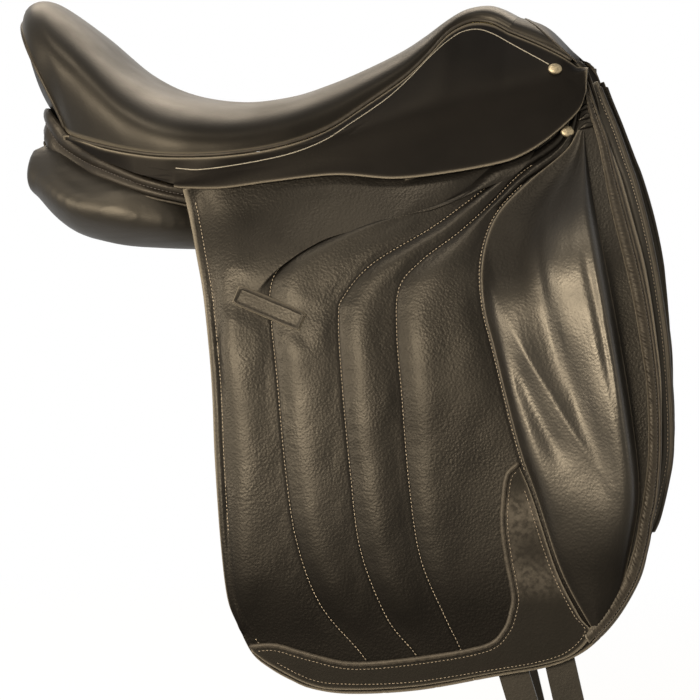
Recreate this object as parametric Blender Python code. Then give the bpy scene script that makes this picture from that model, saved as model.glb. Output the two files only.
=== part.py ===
"""An English dressage saddle, built from its tree outwards.

Units are metres in the scene and millimetres in the tables below. +X points to the pommel, +Y to the
saddle's left, +Z up. The origin is on the middle plane, at mid length, at the height of the horse's back.
Everything outside the seat hangs on one side surface, side_y(), from which each layer keeps its own offset.
"""

import bmesh
import bpy
import numpy as np
from mathutils import Matrix, Vector

MM = 0.001
GAP = 0.3
SIDES = (("right", -1.0), ("left", 1.0))

# Leather and layer thicknesses
SEAT_LEATHER = 3.0
FLAP_LEATHER = 3.2
SKIRT_LEATHER = 3.5
SWEAT_LEATHER = 3.0
FOAM = 15.0
FOAM_EDGE = 3.0
WEBBING = 1.5
TREE_WOOD = 9.0
SEAT_ROWS = 25
SEAT_COLUMNS = 15
TREE_DEPTH = SEAT_LEATHER + FOAM + WEBBING + 3 * GAP
RAIL_COLUMNS = 11
RAIL_ROWS = slice(2, -3)
RAIL_REACH = ((2, 0.34), (6, 0.56), (11, 0.66), (24, 0.7))
SPRING_THICK = 2.0
STEEL = 2.5

# Offsets of the layers from the side surface, outwards positive
SKIRT_LIFT_TOP = 8.0
SKIRT_LIFT_LOW = 10.5
BILLET_OUT = -5.5
BILLET_THICK = 4.0
SWEAT_OUT = -13.5
WEB_OUT = -10.6
ROLL_OUT = -26.4
POINT_OUT = -17.3
ON_FLAP = 1.1
PUFF = 5.0

# The line on which flap and skirt fold: x, y, z of its two ends on the skirt's outer face
FOLD_REAR = (-131.0, 146.0, 62.0)
FOLD_FRONT = (186.0, 85.0, 148.0)

# Half width of the side surface at heights below the fold
BODY_Z = (-520, -380, -200, -120, -60, 0, 30, 60, 90, 120, 160, 200)
BODY_Y = (188, 188, 179, 171, 162, 147, 136, 123, 111, 98, 80, 62)

# Seat: middle line x, z, then the edge x, y, z, from the pommel to the cantle rim
SEAT = (
    (149, 202, 143, 43, 191),
    (135, 209, 129, 38, 198),
    (122, 212, 115, 38, 200),
    (104, 209, 103, 42, 197),
    (88, 200, 90, 52, 188),
    (69, 186, 74, 66, 169),
    (49, 173, 56, 79, 151),
    (19, 158, 27, 93, 130),
    (-12, 145, -6, 109, 108),
    (-47, 134, -45, 124, 94),
    (-92, 129, -91, 134, 87),
    (-141, 136, -138, 135, 86),
    (-181, 155, -170, 128, 89),
    (-220, 188, -199, 114, 94),
    (-253, 212, -222, 99, 99),
    (-268, 217, -230, 91, 102),
    (-279, 212, -233, 86, 104),
    (-283, 200, -235, 83, 105),
)
SEAT_BULGE = ((149, 3), (60, 0), (-92, 3), (-180, 8), (-230, 13), (-283, 15))

# Pommel facing: rows from the seat's front end, over the head and under the arch
FACING = (
    (152, 201, 146, 45, 189),
    (168, 196, 168, 56, 181),
    (180, 187, 189, 67, 171),
    (187, 175, 203, 68.5, 162),
    (187, 163, 207, 67.5, 151),
    (180, 155, 205, 66, 141),
)

# Back of the cantle on the middle plane: z, x
CANTLE_BACK = ((201, -284), (176, -279), (157, -274), (139, -268.5), (121, -260), (104, -246))

# Outlines of the flap and what is on it, x and z
FLAP_REAR = (
    (-124, 56), (-112, 6), (-103, -36), (-95, -103), (-91, -168), (-86, -236), (-80, -282), (-71, -305),
)
FLAP_FRONT = (
    (210, 147), (219, 119), (228, 98), (240, 69), (252, 31), (261.5, -1), (268, -33), (273, -65),
    (277, -98), (278, -131), (278, -163), (275.5, -196), (272, -217),
)
FLAP_LOW = (
    (-71, -306), (-59, -328), (-43, -340.5), (-27, -349), (-9, -356), (23, -359.5), (79, -355.5),
    (143, -343), (184, -335), (208, -326), (226, -313), (245, -291), (262, -260), (269, -233), (272, -217),
)
CHANNELS = (
    ((146, 83), (133, 72), (106, 50), (75, 34), (25, 27), (-17, 10), (-41, -9), (-48, -28), (-46, -55),
     (-40, -103), (-32, -177), (-22, -236), (-2, -287), (34, -329), (50, -357)),
    ((196, 140), (190, 104), (155, 78), (110, 43), (84, 24), (37, -5), (14, -32), (10, -50), (14, -103),
     (22, -177), (31, -241), (53, -296), (77, -326), (94, -353)),
    ((202, 142), (194, 98), (158, 70), (132, 43), (108, 21), (77, -3), (60, -25), (59, -62), (64, -113),
     (71, -186), (81, -247), (102, -296), (112, -316), (126, -347)),
    ((208, 144), (198, 92), (162, 63), (137, 34), (127, -1), (129, -38), (139, -76), (159, -151),
     (175, -196), (195, -255), (220, -301), (230, -309)),
)
BLOCK_FRONT = (
    (211, 88), (218, 56), (230, 1), (244, -68), (256, -140), (260.5, -184), (258.5, -212), (252, -247),
    (245, -274), (230, -306),
)
BLOCK_REAR = (
    (199, 90), (164, 62), (139, 34), (129, -1), (131, -38), (141, -76), (161, -151), (177, -196),
    (197, -255), (219, -296), (226, -304),
)
BLOCK_HEIGHT = 46.0
BLOCK_RISE = (
    (0, 0.06), (0.08, 0.3), (0.2, 0.66), (0.38, 0.95), (0.55, 1), (0.72, 0.86), (0.87, 0.5), (0.96, 0.2),
    (1, 0.05),
)
PATCH_UPPER = (
    (161, -168), (152, -178), (149, -202), (149, -222), (152, -244), (158, -275), (157, -288),
    (151, -305), (134, -319), (78, -330), (25, -335), (-12, -328), (-39, -321), (-60, -322),
)
PATCH_LOWER = (
    (162, -170), (173, -196), (193, -255), (212, -292), (222, -306), (208, -323), (184, -332),
    (143, -340), (79, -352), (23, -356), (-9, -353), (-43, -337), (-59, -326),
)
STRIP_CORNERS = ((-74, -23), (-17, -46), (-22, -60), (-79, -38))
BINDING_INNER = (
    (221, 98), (227, 73), (234, 42), (246, -1), (254, -33), (260, -65), (265.5, -98), (267.6, -131),
    (267.7, -163), (264, -196), (261, -214),
)
BINDING_OUTER = (
    (225, 98), (233, 73), (243, 40), (255, -1), (262.5, -33), (268, -65), (272.3, -98), (274.5, -131),
    (274.5, -163), (272, -196), (268.5, -214),
)
SKIRT_LOW = (
    (-130, 59), (-122, 58), (-90, 58), (-53, 63), (3, 69), (53, 66), (99, 71), (137, 78), (156, 84),
    (175, 95), (193, 110), (206, 124), (211, 139),
)
SKIRT_TAIL = ((-234, 98.5), (-218, 91), (-199, 81), (-166, 70), (-131, 61))
SKIRT_TAIL_Y = ((-234, 91), (-218, 103.5), (-199, 117), (-166, 135), (-131, 146))
SWEAT_FRONT = (
    (219, 146), (225, 131), (236, 106), (246, 80), (253, 62), (262, 32), (270, -1), (276, -34),
    (281, -66), (284, -99), (286, -132), (286, -160), (283, -181), (276, -212), (269, -228),
)
SWEAT_REAR = ((-105, 20), (-98, -36), (-90, -103), (-86, -168), (-80, -236), (-72, -290))
SWEAT_LOW = (
    (-72, -290), (-50, -322), (-9, -344), (40, -349), (79, -347), (143, -336), (184, -328),
    (220, -308), (243, -284), (260, -253), (269, -228),
)

SWEAT_HEAD = 106.0
SWEAT_TONGUE = (196.0, SWEAT_FRONT[0][0])

# Bar recess in the top of the flap, under the skirt: from x to x, and its depth below the fold
RECESS = (62.0, 172.0)
FLAP_TOP = 8.0
RECESS_DEPTH = 50.0

# Billets: x and z of the upper end, then of the foot; width, number and pitch of holes. The left pair
# hangs with its feet this much further back.
BILLETS = (("rear", (33.0, 60.0), (204.0, -488.0)), ("front", (104.0, 60.0), (233.0, -488.0)))
BILLET_WIDTH = 25.0
LEFT_FOOT_BACK = 40.0
HOLES = 5
HOLE_PITCH = 25.0
HOLE_RADIUS = 2.4
FIRST_HOLE = 22.0

# Stirrup bar: length, height, the slot for the stirrup leather
BAR_X = 112.0
BAR_DROP = 27.0
BAR_LENGTH = 74.0
BAR_IN = -15.2
BAR_HEIGHT = 11.0
BAR_THICK = 5.0
SLOT = 8.0
PLATE_LENGTH = 92.0
PLATE_HEIGHT = 26.0
PLATE_THICK = 3.0
PIN_RADIUS = 1.5

FLAP_PIECES = ("flap", "knee_block", "flap_binding", "wear_patch", "flap_strip", "flap_nail")
NAIL_RADIUS = 5.6
NAIL_HEIGHT = 3.0
FLAP_NAIL = (198.0, 105.0)
SKIRT_NAIL = (187.0, 81.2, 159.5)

# Panel sections: x, then y and z of six points round the section
PANEL = (
    (-259, (68, 88), (66, 62), (88, 48), (108, 60), (104, 75), (86, 88)),
    (-250, (50, 91), (48, 50), (90, 33), (118, 53), (108, 72.5), (78, 91)),
    (-222, (42, 86), (40, 36), (96, 16), (134, 41), (121.5, 60), (91, 75)),
    (-181, (38, 84), (38, 28), (96, 6), (142, 32), (134, 48), (104, 60)),
    (-140, (38, 82), (38, 26), (94, 3), (135, 24), (127, 40), (96, 58)),
    (-112, (38, 78), (38, 28), (90, 1), (118, 20), (107, 46), (78, 78)),
    (-60, (38, 74), (38, 30), (90, 0), (116, 16), (101, 48), (76, 74)),
    (0, (38, 84), (40, 38), (95, -2), (118, 8), (97, 50), (72, 82)),
    (60, (38, 92), (42, 50), (98, -6), (124, 0), (97, 48), (68, 88)),
    (120, (38, 102), (44, 62), (103, -8), (127, 0), (88, 46), (62, 92)),
    (180, (40, 106), (48, 70), (106, -8), (127, 2), (88, 48), (62, 94)),
    (206, (45, 104), (54, 70), (106, 0), (123, 8), (90, 48), (66, 92)),
    (216, (58, 92), (68, 66), (104, 12), (114, 18), (90, 44), (72, 80)),
)
PANEL_AT = (
    -261, -259, -254, -244, -226, -200, -170, -140, -112, -70, -25, 20, 65, 110, 150, 185, 206, 214, 217,
)
PANEL_END = 0.6
BAND_PATH = (
    (-260, 8, 109), (-259, 36, 110), (-253, 66, 110), (-247, 77, 102.5), (-237, 84.3, 91.6), (-218, 96, 80.5),
    (-199, 110.5, 73), (-166, 126.5, 61.5), (-145, 128, 55.5), (-125, 124.5, 51), (-112, 120.5, 47),
)
BAND_SECTION = ((-1.8, -6.9), (2.2, -6.2), (3.4, -3.4), (1.2, 0), (3.4, 3.4), (2.2, 6.2), (-1.8, 6.9))

# Girth webs: x from and to, and the height their lower end hangs to
WEBS = (("rear", 19.0, 47.0, 34.0), ("front", 90.0, 118.0, 34.0))
WEB_THICK = 1.5

LEATHER = (0.016, 0.013, 0.010)
collection = bpy.data.collections.new("dressage_saddle")
cutters = bpy.data.collections.new("cutters")
materials = {}


def clear_scene():
    for thing in list(bpy.data.objects):
        bpy.data.objects.remove(thing, do_unlink=True)
    bpy.context.scene.collection.children.link(collection)
    bpy.context.scene.collection.children.link(cutters)


def material(name, colour, roughness, metallic=0.0):
    if name not in materials:
        made = bpy.data.materials.new(name)
        made.use_nodes = True
        shader = made.node_tree.nodes["Principled BSDF"]
        shader.inputs["Base Color"].default_value = (*colour, 1.0)
        shader.inputs["Roughness"].default_value = roughness
        shader.inputs["Metallic"].default_value = metallic
        materials[name] = made
    return materials[name]


def leather(name, roughness=0.42):
    return material("leather_" + name, LEATHER, roughness)


def place(name, mesh, finish, into=None):
    thing = bpy.data.objects.new(name, mesh)
    (into or collection).objects.link(thing)
    if finish:
        mesh.materials.append(finish)
    return thing


def solid(name, points, faces, finish, into=None):
    """A closed mesh from points in millimetres, with its faces turned outwards."""
    mesh = bpy.data.meshes.new(name)
    mesh.from_pydata([tuple(float(v) * MM for v in p) for p in points], [], faces)
    shape = bmesh.new()
    shape.from_mesh(mesh)
    bmesh.ops.recalc_face_normals(shape, faces=shape.faces)
    if shape.calc_volume(signed=True) < 0:
        bmesh.ops.reverse_faces(shape, faces=shape.faces)
    shape.to_mesh(mesh)
    shape.free()
    mesh.shade_smooth()
    mesh.set_sharp_from_angle(angle=0.7)
    return place(name, mesh, finish, into)


def curve(points, count):
    """Evenly spaced points on a smooth curve through the given ones."""
    p = np.array(points, float)
    ends = np.vstack([2 * p[0] - p[1], p, 2 * p[-1] - p[-2]])
    fine = []
    t = np.linspace(0, 1, 24, endpoint=False)[:, None]
    for a, b, c, d in zip(ends, ends[1:], ends[2:], ends[3:]):
        cubic = 3 * b - a - 3 * c + d
        square = 2 * a - 5 * b + 4 * c - d
        fine.append(0.5 * (2 * b + (c - a) * t + square * t**2 + cubic * t**3))
    fine = np.vstack([*fine, p[-1:]])
    run = np.concatenate([[0], np.cumsum(np.linalg.norm(np.diff(fine, axis=0), axis=1))])
    at = np.linspace(0, run[-1], count)
    return np.stack([np.interp(at, run, fine[:, k]) for k in range(p.shape[1])], axis=1)


def ramp(value, low, high):
    t = np.clip((value - low) / (high - low), 0, 1)
    return t * t * (3 - 2 * t)


def fold_y(x):
    slope = (FOLD_FRONT[1] - FOLD_REAR[1]) / (FOLD_FRONT[0] - FOLD_REAR[0])
    return FOLD_REAR[1] + (x - FOLD_REAR[0]) * slope


def fold_z(x):
    slope = (FOLD_FRONT[2] - FOLD_REAR[2]) / (FOLD_FRONT[0] - FOLD_REAR[0])
    return FOLD_REAR[2] + (x - FOLD_REAR[0]) * slope


def side_y(x, z):
    """Half width of the side surface: it leaves the straight fold line and joins the body's profile."""
    top = fold_y(x) - SKIRT_LIFT_TOP
    t = np.clip((fold_z(x) - z) / (fold_z(x) + 20), 0, 1)
    return top + (np.interp(z, BODY_Z, BODY_Y) - top) * (1 - (1 - t) ** 2)


def slab(name, inner, outer, finish):
    """A closed sheet between two grids of points."""
    nu, nv = inner.shape[:2]
    points = np.concatenate([inner.reshape(-1, 3), outer.reshape(-1, 3)])
    half = nu * nv

    def at(i, j, k):
        return k * half + i * nv + j

    faces = []
    for i in range(nu - 1):
        for j in range(nv - 1):
            for k in (0, 1):
                faces.append((at(i, j, k), at(i + 1, j, k), at(i + 1, j + 1, k), at(i, j + 1, k)))
    for i in range(nu - 1):
        for j in (0, nv - 1):
            faces.append((at(i, j, 0), at(i + 1, j, 0), at(i + 1, j, 1), at(i, j, 1)))
    for j in range(nv - 1):
        for i in (0, nu - 1):
            faces.append((at(i, j, 0), at(i, j + 1, 0), at(i, j + 1, 1), at(i, j, 1)))
    return solid(name, points, faces, finish)


def side_sheet(name, side, grid, low, high, finish):
    """A sheet on the side surface from a grid of x, z and its inner and outer offsets."""
    x = grid[..., 0]
    z = grid[..., 1]
    base = side_y(x, z)
    inner = np.stack([x, side * (base + low), z], axis=-1)
    outer = np.stack([x, side * (base + high), z], axis=-1)
    return slab(name, inner, outer, finish)


def between(first, second, count):
    """A grid of lines across from one curve to another."""
    t = np.linspace(0, 1, count)[:, None, None]
    return first[None] * (1 - t) + second[None] * t


def normals(grid):
    du = np.gradient(grid, axis=0)
    dv = np.gradient(grid, axis=1)
    n = np.cross(du, dv)
    n /= np.linalg.norm(n, axis=-1, keepdims=True) + 1e-12
    return n


def outward(grid, away_from):
    n = normals(grid)
    flip = np.sign(np.sum(n * (grid - np.array(away_from)), axis=-1).sum())
    return n * flip


def loft(name, rings, finish):
    """A closed solid through closed sections, capped at both ends."""
    rings = np.asarray(rings)
    count, around = rings.shape[:2]
    faces = []
    for i in range(count - 1):
        for j in range(around):
            k = (j + 1) % around
            faces.append((i * around + j, i * around + k, (i + 1) * around + k, (i + 1) * around + j))
    faces.append(tuple(range(around)))
    faces.append(tuple((count - 1) * around + j for j in range(around)))
    return solid(name, rings.reshape(-1, 3), faces, finish)


def sweep(name, path, section, finish, up=(0.0, 0.0, 1.0), scale=None):
    """A section of sideways and upward offsets carried along a path."""
    tangent = np.gradient(path, axis=0)
    tangent /= np.linalg.norm(tangent, axis=1, keepdims=True)
    side = np.cross(tangent, np.array(up))
    side /= np.linalg.norm(side, axis=1, keepdims=True)
    top = np.cross(side, tangent)
    scale = np.ones(len(path)) if scale is None else scale
    rings = [
        [p + s * (a * k) + t * (b * k) for a, b in section]
        for p, s, t, k in zip(path, side, top, scale)
    ]
    return loft(name, rings, finish)


def ellipse(width, height, count=8):
    angle = np.linspace(0, 2 * np.pi, count, endpoint=False)
    return np.stack([np.cos(angle) * width / 2, np.sin(angle) * height / 2], axis=1)


def extruded(name, outline, thickness, place_at, finish, into=None):
    """A flat outline of x, y drawn as a filled curve with a thickness, made a mesh where it belongs."""
    data = bpy.data.curves.new(name, "CURVE")
    data.dimensions = "2D"
    data.fill_mode = "BOTH"
    data.extrude = thickness * MM / 2
    spline = data.splines.new("POLY")
    spline.points.add(len(outline) - 1)
    for point, (x, y) in zip(spline.points, outline):
        point.co = (x * MM, y * MM, 0, 1)
    spline.use_cyclic_u = True
    drawn = bpy.data.objects.new(name, data)
    collection.objects.link(drawn)
    drawn.matrix_world = place_at
    bpy.context.view_layer.update()
    mesh = bpy.data.meshes.new_from_object(drawn.evaluated_get(bpy.context.evaluated_depsgraph_get()))
    bpy.data.objects.remove(drawn, do_unlink=True)
    shape = bmesh.new()
    shape.from_mesh(mesh)
    bmesh.ops.remove_doubles(shape, verts=shape.verts, dist=0.00001)
    bmesh.ops.recalc_face_normals(shape, faces=shape.faces)
    shape.to_mesh(mesh)
    shape.free()
    made = place(name, mesh, finish, into)
    made.matrix_world = place_at
    return made


def combine(target, tool, operation):
    """Join or cut with an exact Boolean; the tool stays out of the model."""
    for owner in list(tool.users_collection):
        owner.objects.unlink(tool)
    cutters.objects.link(tool)
    tool.hide_render = True
    tool.hide_viewport = False
    tool.display_type = "WIRE"
    step = target.modifiers.new(operation.lower(), "BOOLEAN")
    step.operation = operation
    step.solver = "EXACT"
    step.object = tool


def disc(name, centre, normal, finish, sides=12):
    """A domed nail head on a flat base."""
    turn = Vector(normal).to_track_quat("Z", "Y").to_matrix()
    angles = np.linspace(0, 2 * np.pi, sides, endpoint=False)
    rings = []
    for r, h in ((1.0, 0.0), (1.0, 0.35), (0.82, 0.75), (0.45, 0.97)):
        wide = NAIL_RADIUS * r
        spots = [Vector((wide * np.cos(a), wide * np.sin(a), NAIL_HEIGHT * h)) for a in angles]
        rings.append([tuple(Vector(centre) + turn @ spot) for spot in spots])
    return loft(name, rings, finish)


# Seat and tree


def seat_grid(count_u, angles, rows=SEAT, bulge=SEAT_BULGE):
    """Cross curves of the seat from the right edge over the top to the left edge."""
    rows = curve(rows, count_u)
    bulge_x = [b[0] for b in bulge][::-1]
    bulge_y = [b[1] for b in bulge][::-1]
    grid = np.zeros((count_u, len(angles), 3))
    for i, (xc, zc, xe, ye, ze) in enumerate(rows):
        extra = np.interp(xc, bulge_x, bulge_y)
        s = np.sin(angles)
        c = np.cos(angles)
        grid[i, :, 0] = xc + (xe - xc) * (1 - c)
        grid[i, :, 1] = np.sign(s) * (ye * np.abs(s) ** 0.85 + extra * np.abs(np.sin(2 * angles)))
        grid[i, :, 2] = ze + (zc - ze) * np.maximum(c, 0) ** 0.85
    return grid


def seat_angles(count, reach=1.0):
    return np.linspace(-np.pi / 2, np.pi / 2, count) * reach


def inset(grid, depth):
    """The same surface this far inside the seat."""
    n = normals(grid)
    middle = n[n.shape[0] // 2, n.shape[1] // 2]
    if middle[2] < 0:
        n = -n
    return grid - n * depth


def make_seat():
    cover = seat_grid(SEAT_ROWS, seat_angles(SEAT_COLUMNS))
    slab("seat_cover", inset(cover, SEAT_LEATHER), cover, leather("seat", 0.34))
    top = SEAT_LEATHER + GAP
    foam = (slice(1, -1), slice(1, -1))
    finish = material("foam", (0.62, 0.55, 0.36), 0.95)
    thick = FOAM_EDGE + (FOAM - FOAM_EDGE) * np.cos(seat_angles(SEAT_COLUMNS))[None, :, None]
    slab("seat_foam", inset(cover, top + thick)[foam], inset(cover, top)[foam], finish)
    depth = top + FOAM + GAP
    web = (slice(5, -5), slice(4, -4))
    finish = material("webbing", (0.5, 0.45, 0.33), 0.9)
    slab("seat_webbing", inset(cover, depth + WEBBING)[web], inset(cover, depth)[web], finish)


def rail_grid(depth):
    """The seat's curves this deep inside, drawn in from the edges, and more so towards the head."""
    fine = inset(seat_grid(SEAT_ROWS, seat_angles(61)), depth)
    reach = np.interp(np.arange(SEAT_ROWS), *np.array(RAIL_REACH).T)
    columns = np.linspace(-1, 1, RAIL_COLUMNS)
    grid = np.zeros((SEAT_ROWS, RAIL_COLUMNS, 3))
    for i, wide in enumerate(reach):
        for k in range(3):
            grid[i, :, k] = np.interp(columns * wide, np.linspace(-1, 1, 61), fine[i, :, k])
    return grid[RAIL_ROWS]


def make_tree():
    """Laminated frame: a band round an open centre, on the seat's own curves."""
    outer = rail_grid(TREE_DEPTH)
    inner = rail_grid(TREE_DEPTH + TREE_WOOD)
    nu, nv = outer.shape[:2]
    hole_u = range(4, nu - 4)
    hole_v = range(3, nv - 4)
    points = np.concatenate([inner.reshape(-1, 3), outer.reshape(-1, 3)])

    def at(i, j, k):
        return k * nu * nv + i * nv + j

    cells = {(i, j) for i in range(nu - 1) for j in range(nv - 1) if not (i in hole_u and j in hole_v)}
    faces = []
    for i, j in cells:
        for k in (0, 1):
            faces.append((at(i, j, k), at(i + 1, j, k), at(i + 1, j + 1, k), at(i, j + 1, k)))
        for (di, dj), a, b in (
            ((-1, 0), (i, j), (i, j + 1)),
            ((1, 0), (i + 1, j), (i + 1, j + 1)),
            ((0, -1), (i, j), (i + 1, j)),
            ((0, 1), (i, j + 1), (i + 1, j + 1)),
        ):
            if (i + di, j + dj) not in cells:
                faces.append((at(*a, 0), at(*b, 0), at(*b, 1), at(*a, 1)))
    used = sorted({v for face in faces for v in face})
    index = {v: n for n, v in enumerate(used)}
    faces = [tuple(index[v] for v in face) for face in faces]
    solid("tree_frame", points[used], faces, material("laminated_beech", (0.55, 0.36, 0.18), 0.6))
    high = rail_grid(TREE_DEPTH + TREE_WOOD + GAP)
    low = rail_grid(TREE_DEPTH + TREE_WOOD + GAP + SPRING_THICK)
    for side_name, side in SIDES:
        rail = (slice(3, -2), slice(1, 3) if side < 0 else slice(-3, -1))
        finish = material("spring_steel", (0.42, 0.42, 0.44), 0.35, 1.0)
        slab("rail_spring_" + side_name, low[rail], high[rail], finish)


def arch_line(x, out, top, count=17):
    """Half-round line over the withers: down both points on the side surface at this offset."""
    z = np.array([48.0, 70.0, 95.0, 118.0])
    y = side_y(np.full(4, x), z) + out
    right = [(-a, b) for a, b in zip(y, z)]
    left = [(a, b) for a, b in zip(y, z)][::-1]
    shoulder = 0.62 * (y[-1] + out - POINT_OUT)
    over = [(-shoulder, 118 + 0.62 * (top - 118)), (-shoulder * 0.45, top - 4), (0.0, top)]
    line = right + over + [(-a, b) for a, b in over[:2]][::-1] + left
    flat = curve(line, count)
    return np.column_stack([np.full(count, x), flat])


def make_head():
    rows = ((128.0, 168.0), (146.0, 165.0), (164.0, 158.0))
    wood = material("laminated_beech", (0.55, 0.36, 0.18), 0.6)
    steel = material("tree_steel", (0.3, 0.3, 0.32), 0.4, 1.0)
    below = TREE_WOOD + GAP
    layers = (
        ("head_arch", POINT_OUT, 0.0, TREE_WOOD, wood),
        ("gullet_plate", POINT_OUT - below, below, STEEL, steel),
    )
    for name, out, down, thick, finish in layers:
        outer = np.array([arch_line(x, out, top - down) for x, top in rows])
        inner = np.array([arch_line(x, out - thick, top - down - thick) for x, top in rows])
        slab(name, inner, outer, finish)


def make_facings():
    angles = seat_angles(13)
    grid = seat_grid(8, angles, FACING, ((152, 2), (187, 2)))
    slab("pommel_facing", grid - outward(grid, (140, 0, 120)) * SEAT_LEATHER, grid, leather("facing"))
    rim = curve(SEAT, 30)[-1]
    rows = np.linspace(0.3, 1.0, 8)
    across = np.linspace(-1, 1, 9)
    back_z = [p[0] for p in CANTLE_BACK][::-1]
    back_x = [p[1] for p in CANTLE_BACK][::-1]
    face = np.zeros((len(rows), len(across), 3))
    for i, row in enumerate(rows):
        angle = row * np.pi / 2
        y = (rim[3] * np.sin(angle) ** 0.85 + 15 * np.sin(2 * angle)) - 6.5
        z = rim[4] + (rim[1] - rim[4]) * np.cos(angle) ** 0.85 - 2.0 * row
        x_edge = rim[0] + (rim[2] - rim[0]) * (1 - np.cos(angle)) + 1.0
        x_mid = np.interp(z, back_z, back_x)
        face[i, :, 0] = x_mid + (x_edge - x_mid) * across**2
        face[i, :, 1] = y * across
        face[i, :, 2] = z
    inner = face + np.array([SEAT_LEATHER, 0, 0])
    slab("cantle_facing", inner, face, leather("facing"))


# Side leathers


def welt_path(count):
    """The seam between the seat and the skirts, from the front corner back to the tail."""
    front = [(row[2], row[3], row[4]) for row in FACING[:4]][::-1]
    rear = [(row[2], row[3], row[4]) for row in SEAT[:-2]]
    return curve(front + rear, count)


def make_welts():
    path = welt_path(34)
    for side_name, side in SIDES:
        line = path * np.array([1, side, 1]) + np.array([0, side * 2.5, -1.5])
        sweep("seat_welt_" + side_name, line[1:-2], ellipse(3.0, 3.0, 6), leather("welt", 0.3))


def skirt_columns():
    """Upper edge of the skirt by x: y and z just outside and below the welt."""
    path = welt_path(120)
    order = np.argsort(path[:, 0])
    return path[order, 0], path[order, 1] + 6.2, path[order, 2] - 4.4


def make_skirts():
    px, py, pz = skirt_columns()
    tail_x = [p[0] for p in SKIRT_TAIL]
    upper_x = np.concatenate([np.linspace(-231, -136, 7), np.linspace(-126, 205, 20)])
    top = np.stack([upper_x, np.interp(upper_x, px, py), np.interp(upper_x, px, pz)], axis=-1)
    behind = upper_x < FOLD_REAR[0]
    tail_z = np.interp(upper_x, tail_x, [p[1] for p in SKIRT_TAIL])
    tail_y = np.interp(upper_x, tail_x, [p[1] for p in SKIRT_TAIL_Y])
    low_z = np.where(behind, tail_z, fold_z(upper_x) + GAP)
    low_y = np.where(behind, tail_y, fold_y(upper_x) - GAP)
    low_z = np.minimum(low_z, top[:, 2] - 3.0)
    low = np.stack([upper_x, low_y, low_z], axis=-1)
    rows = np.linspace(0, 1, 6)
    fixed = np.array([[b + (t - b) * np.array([1, r**1.25, r]) for r in rows] for b, t in zip(low, top)])
    lower_x = np.concatenate([np.linspace(-129, 190, 22), [198, 204, 208, 210.5]])
    edge = curve(SKIRT_LOW, 200)
    edge_z = np.interp(lower_x, edge[:, 0], edge[:, 1])
    fold = fold_z(lower_x) - GAP
    edge_z = np.minimum(edge_z, fold - 2.0)
    down = np.linspace(0, 1, 6)
    moving = np.array([[(x, a + (b - a) * t) for t in down] for x, a, b in zip(lower_x, fold, edge_z)])
    below = fold_z(moving[..., 0]) - moving[..., 1]
    lift = SKIRT_LIFT_TOP + (SKIRT_LIFT_LOW - SKIRT_LIFT_TOP) * ramp(below, 0, 45)
    for side_name, side in SIDES:
        outer = fixed * np.array([1, side, 1])
        inner = outer - np.array([0, side * SKIRT_LEATHER * 1.2, 0])
        slab("skirt_top_" + side_name, inner, outer, leather("skirt", 0.3))
        side_sheet("skirt_" + side_name, side, moving, lift - SKIRT_LEATHER, lift, leather("skirt", 0.3))


def flap_top(x):
    """Top edge of the flap: near the fold, with the recess for the stirrup bar."""
    dip = ramp(x, RECESS[0] - 14, RECESS[0]) * (1 - ramp(x, RECESS[1], RECESS[1] + 14))
    return fold_z(x) - FLAP_TOP - (RECESS_DEPTH - FLAP_TOP) * dip


def quilting(x, z):
    """Where the leather between the grooves may swell: not at edges, under the skirt, patch or strip."""
    skirt_edge = np.interp(x, [p[0] for p in SKIRT_LOW], [p[1] for p in SKIRT_LOW])
    below_skirt = ramp(skirt_edge - z, -22, 14)
    above_patch = ramp(z, -305, -270)
    beside_patch = 1 - ramp(x, 112, 134) * (1 - ramp(z, -160, -130))
    (ax, az), (bx, bz) = STRIP_CORNERS[0], STRIP_CORNERS[1]
    along = np.array([bx - ax, bz - az]) / np.hypot(bx - ax, bz - az)
    cx = sum(p[0] for p in STRIP_CORNERS) / 4
    cz = sum(p[1] for p in STRIP_CORNERS) / 4
    u = (x - cx) * along[0] + (z - cz) * along[1]
    v = -(x - cx) * along[1] + (z - cz) * along[0]
    strip = np.maximum(ramp(np.abs(u), 50, 72), ramp(np.abs(v), 26, 46))
    return below_skirt * above_patch * beside_patch * strip


def make_flaps():
    rows = 20
    low = curve(FLAP_LOW, 120)
    lines = [curve(FLAP_REAR, rows)]
    for channel in CHANNELS:
        lines.append(curve(channel, rows))
    lines.append(curve(FLAP_FRONT, rows))
    cells = (4, 3, 3, 3, 3)
    columns, swell = [], []
    for (first, second), count in zip(zip(lines, lines[1:]), cells):
        for k in range(count):
            t = k / count
            columns.append(first * (1 - t) + second * t)
            width = np.linalg.norm(second - first, axis=1)
            swell.append(np.minimum(PUFF, 0.14 * width) * np.sin(np.pi * t) ** 0.8)
    columns.append(lines[-1])
    swell.append(np.zeros(rows))
    grid = np.array(columns)
    swell = np.array(swell)
    behind_block = (np.arange(len(columns)) < sum(cells[:4]))[:, None]
    v = np.linspace(0, 1, rows)
    foot = [0]
    run = np.concatenate([[0], np.cumsum(np.linalg.norm(np.diff(low, axis=0), axis=1))])
    for line in lines[1:-1]:
        foot.append(run[np.argmin(np.linalg.norm(low - line[-1], axis=1))])
    foot.append(run[-1])
    place_at = [0.0]
    for a, b, count in zip(foot, foot[1:], cells):
        place_at += list(np.linspace(a, b, count + 1)[1:])
    target = np.stack([np.interp(place_at, run, low[:, k]) for k in (0, 1)], axis=1)
    grid += (target - grid[:, -1])[:, None] * (v[None, :, None] ** 3)
    head = flap_top(grid[:, 0, 0])
    grid[..., 1] += (head - grid[:, 0, 1])[:, None] * np.clip(1 - v * 6, 0, 1)[None]
    swell = swell * behind_block * quilting(grid[..., 0], grid[..., 1])
    for side_name, side in SIDES:
        side_sheet("flap_" + side_name, side, grid, -FLAP_LEATHER, swell, leather("flap"))


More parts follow.
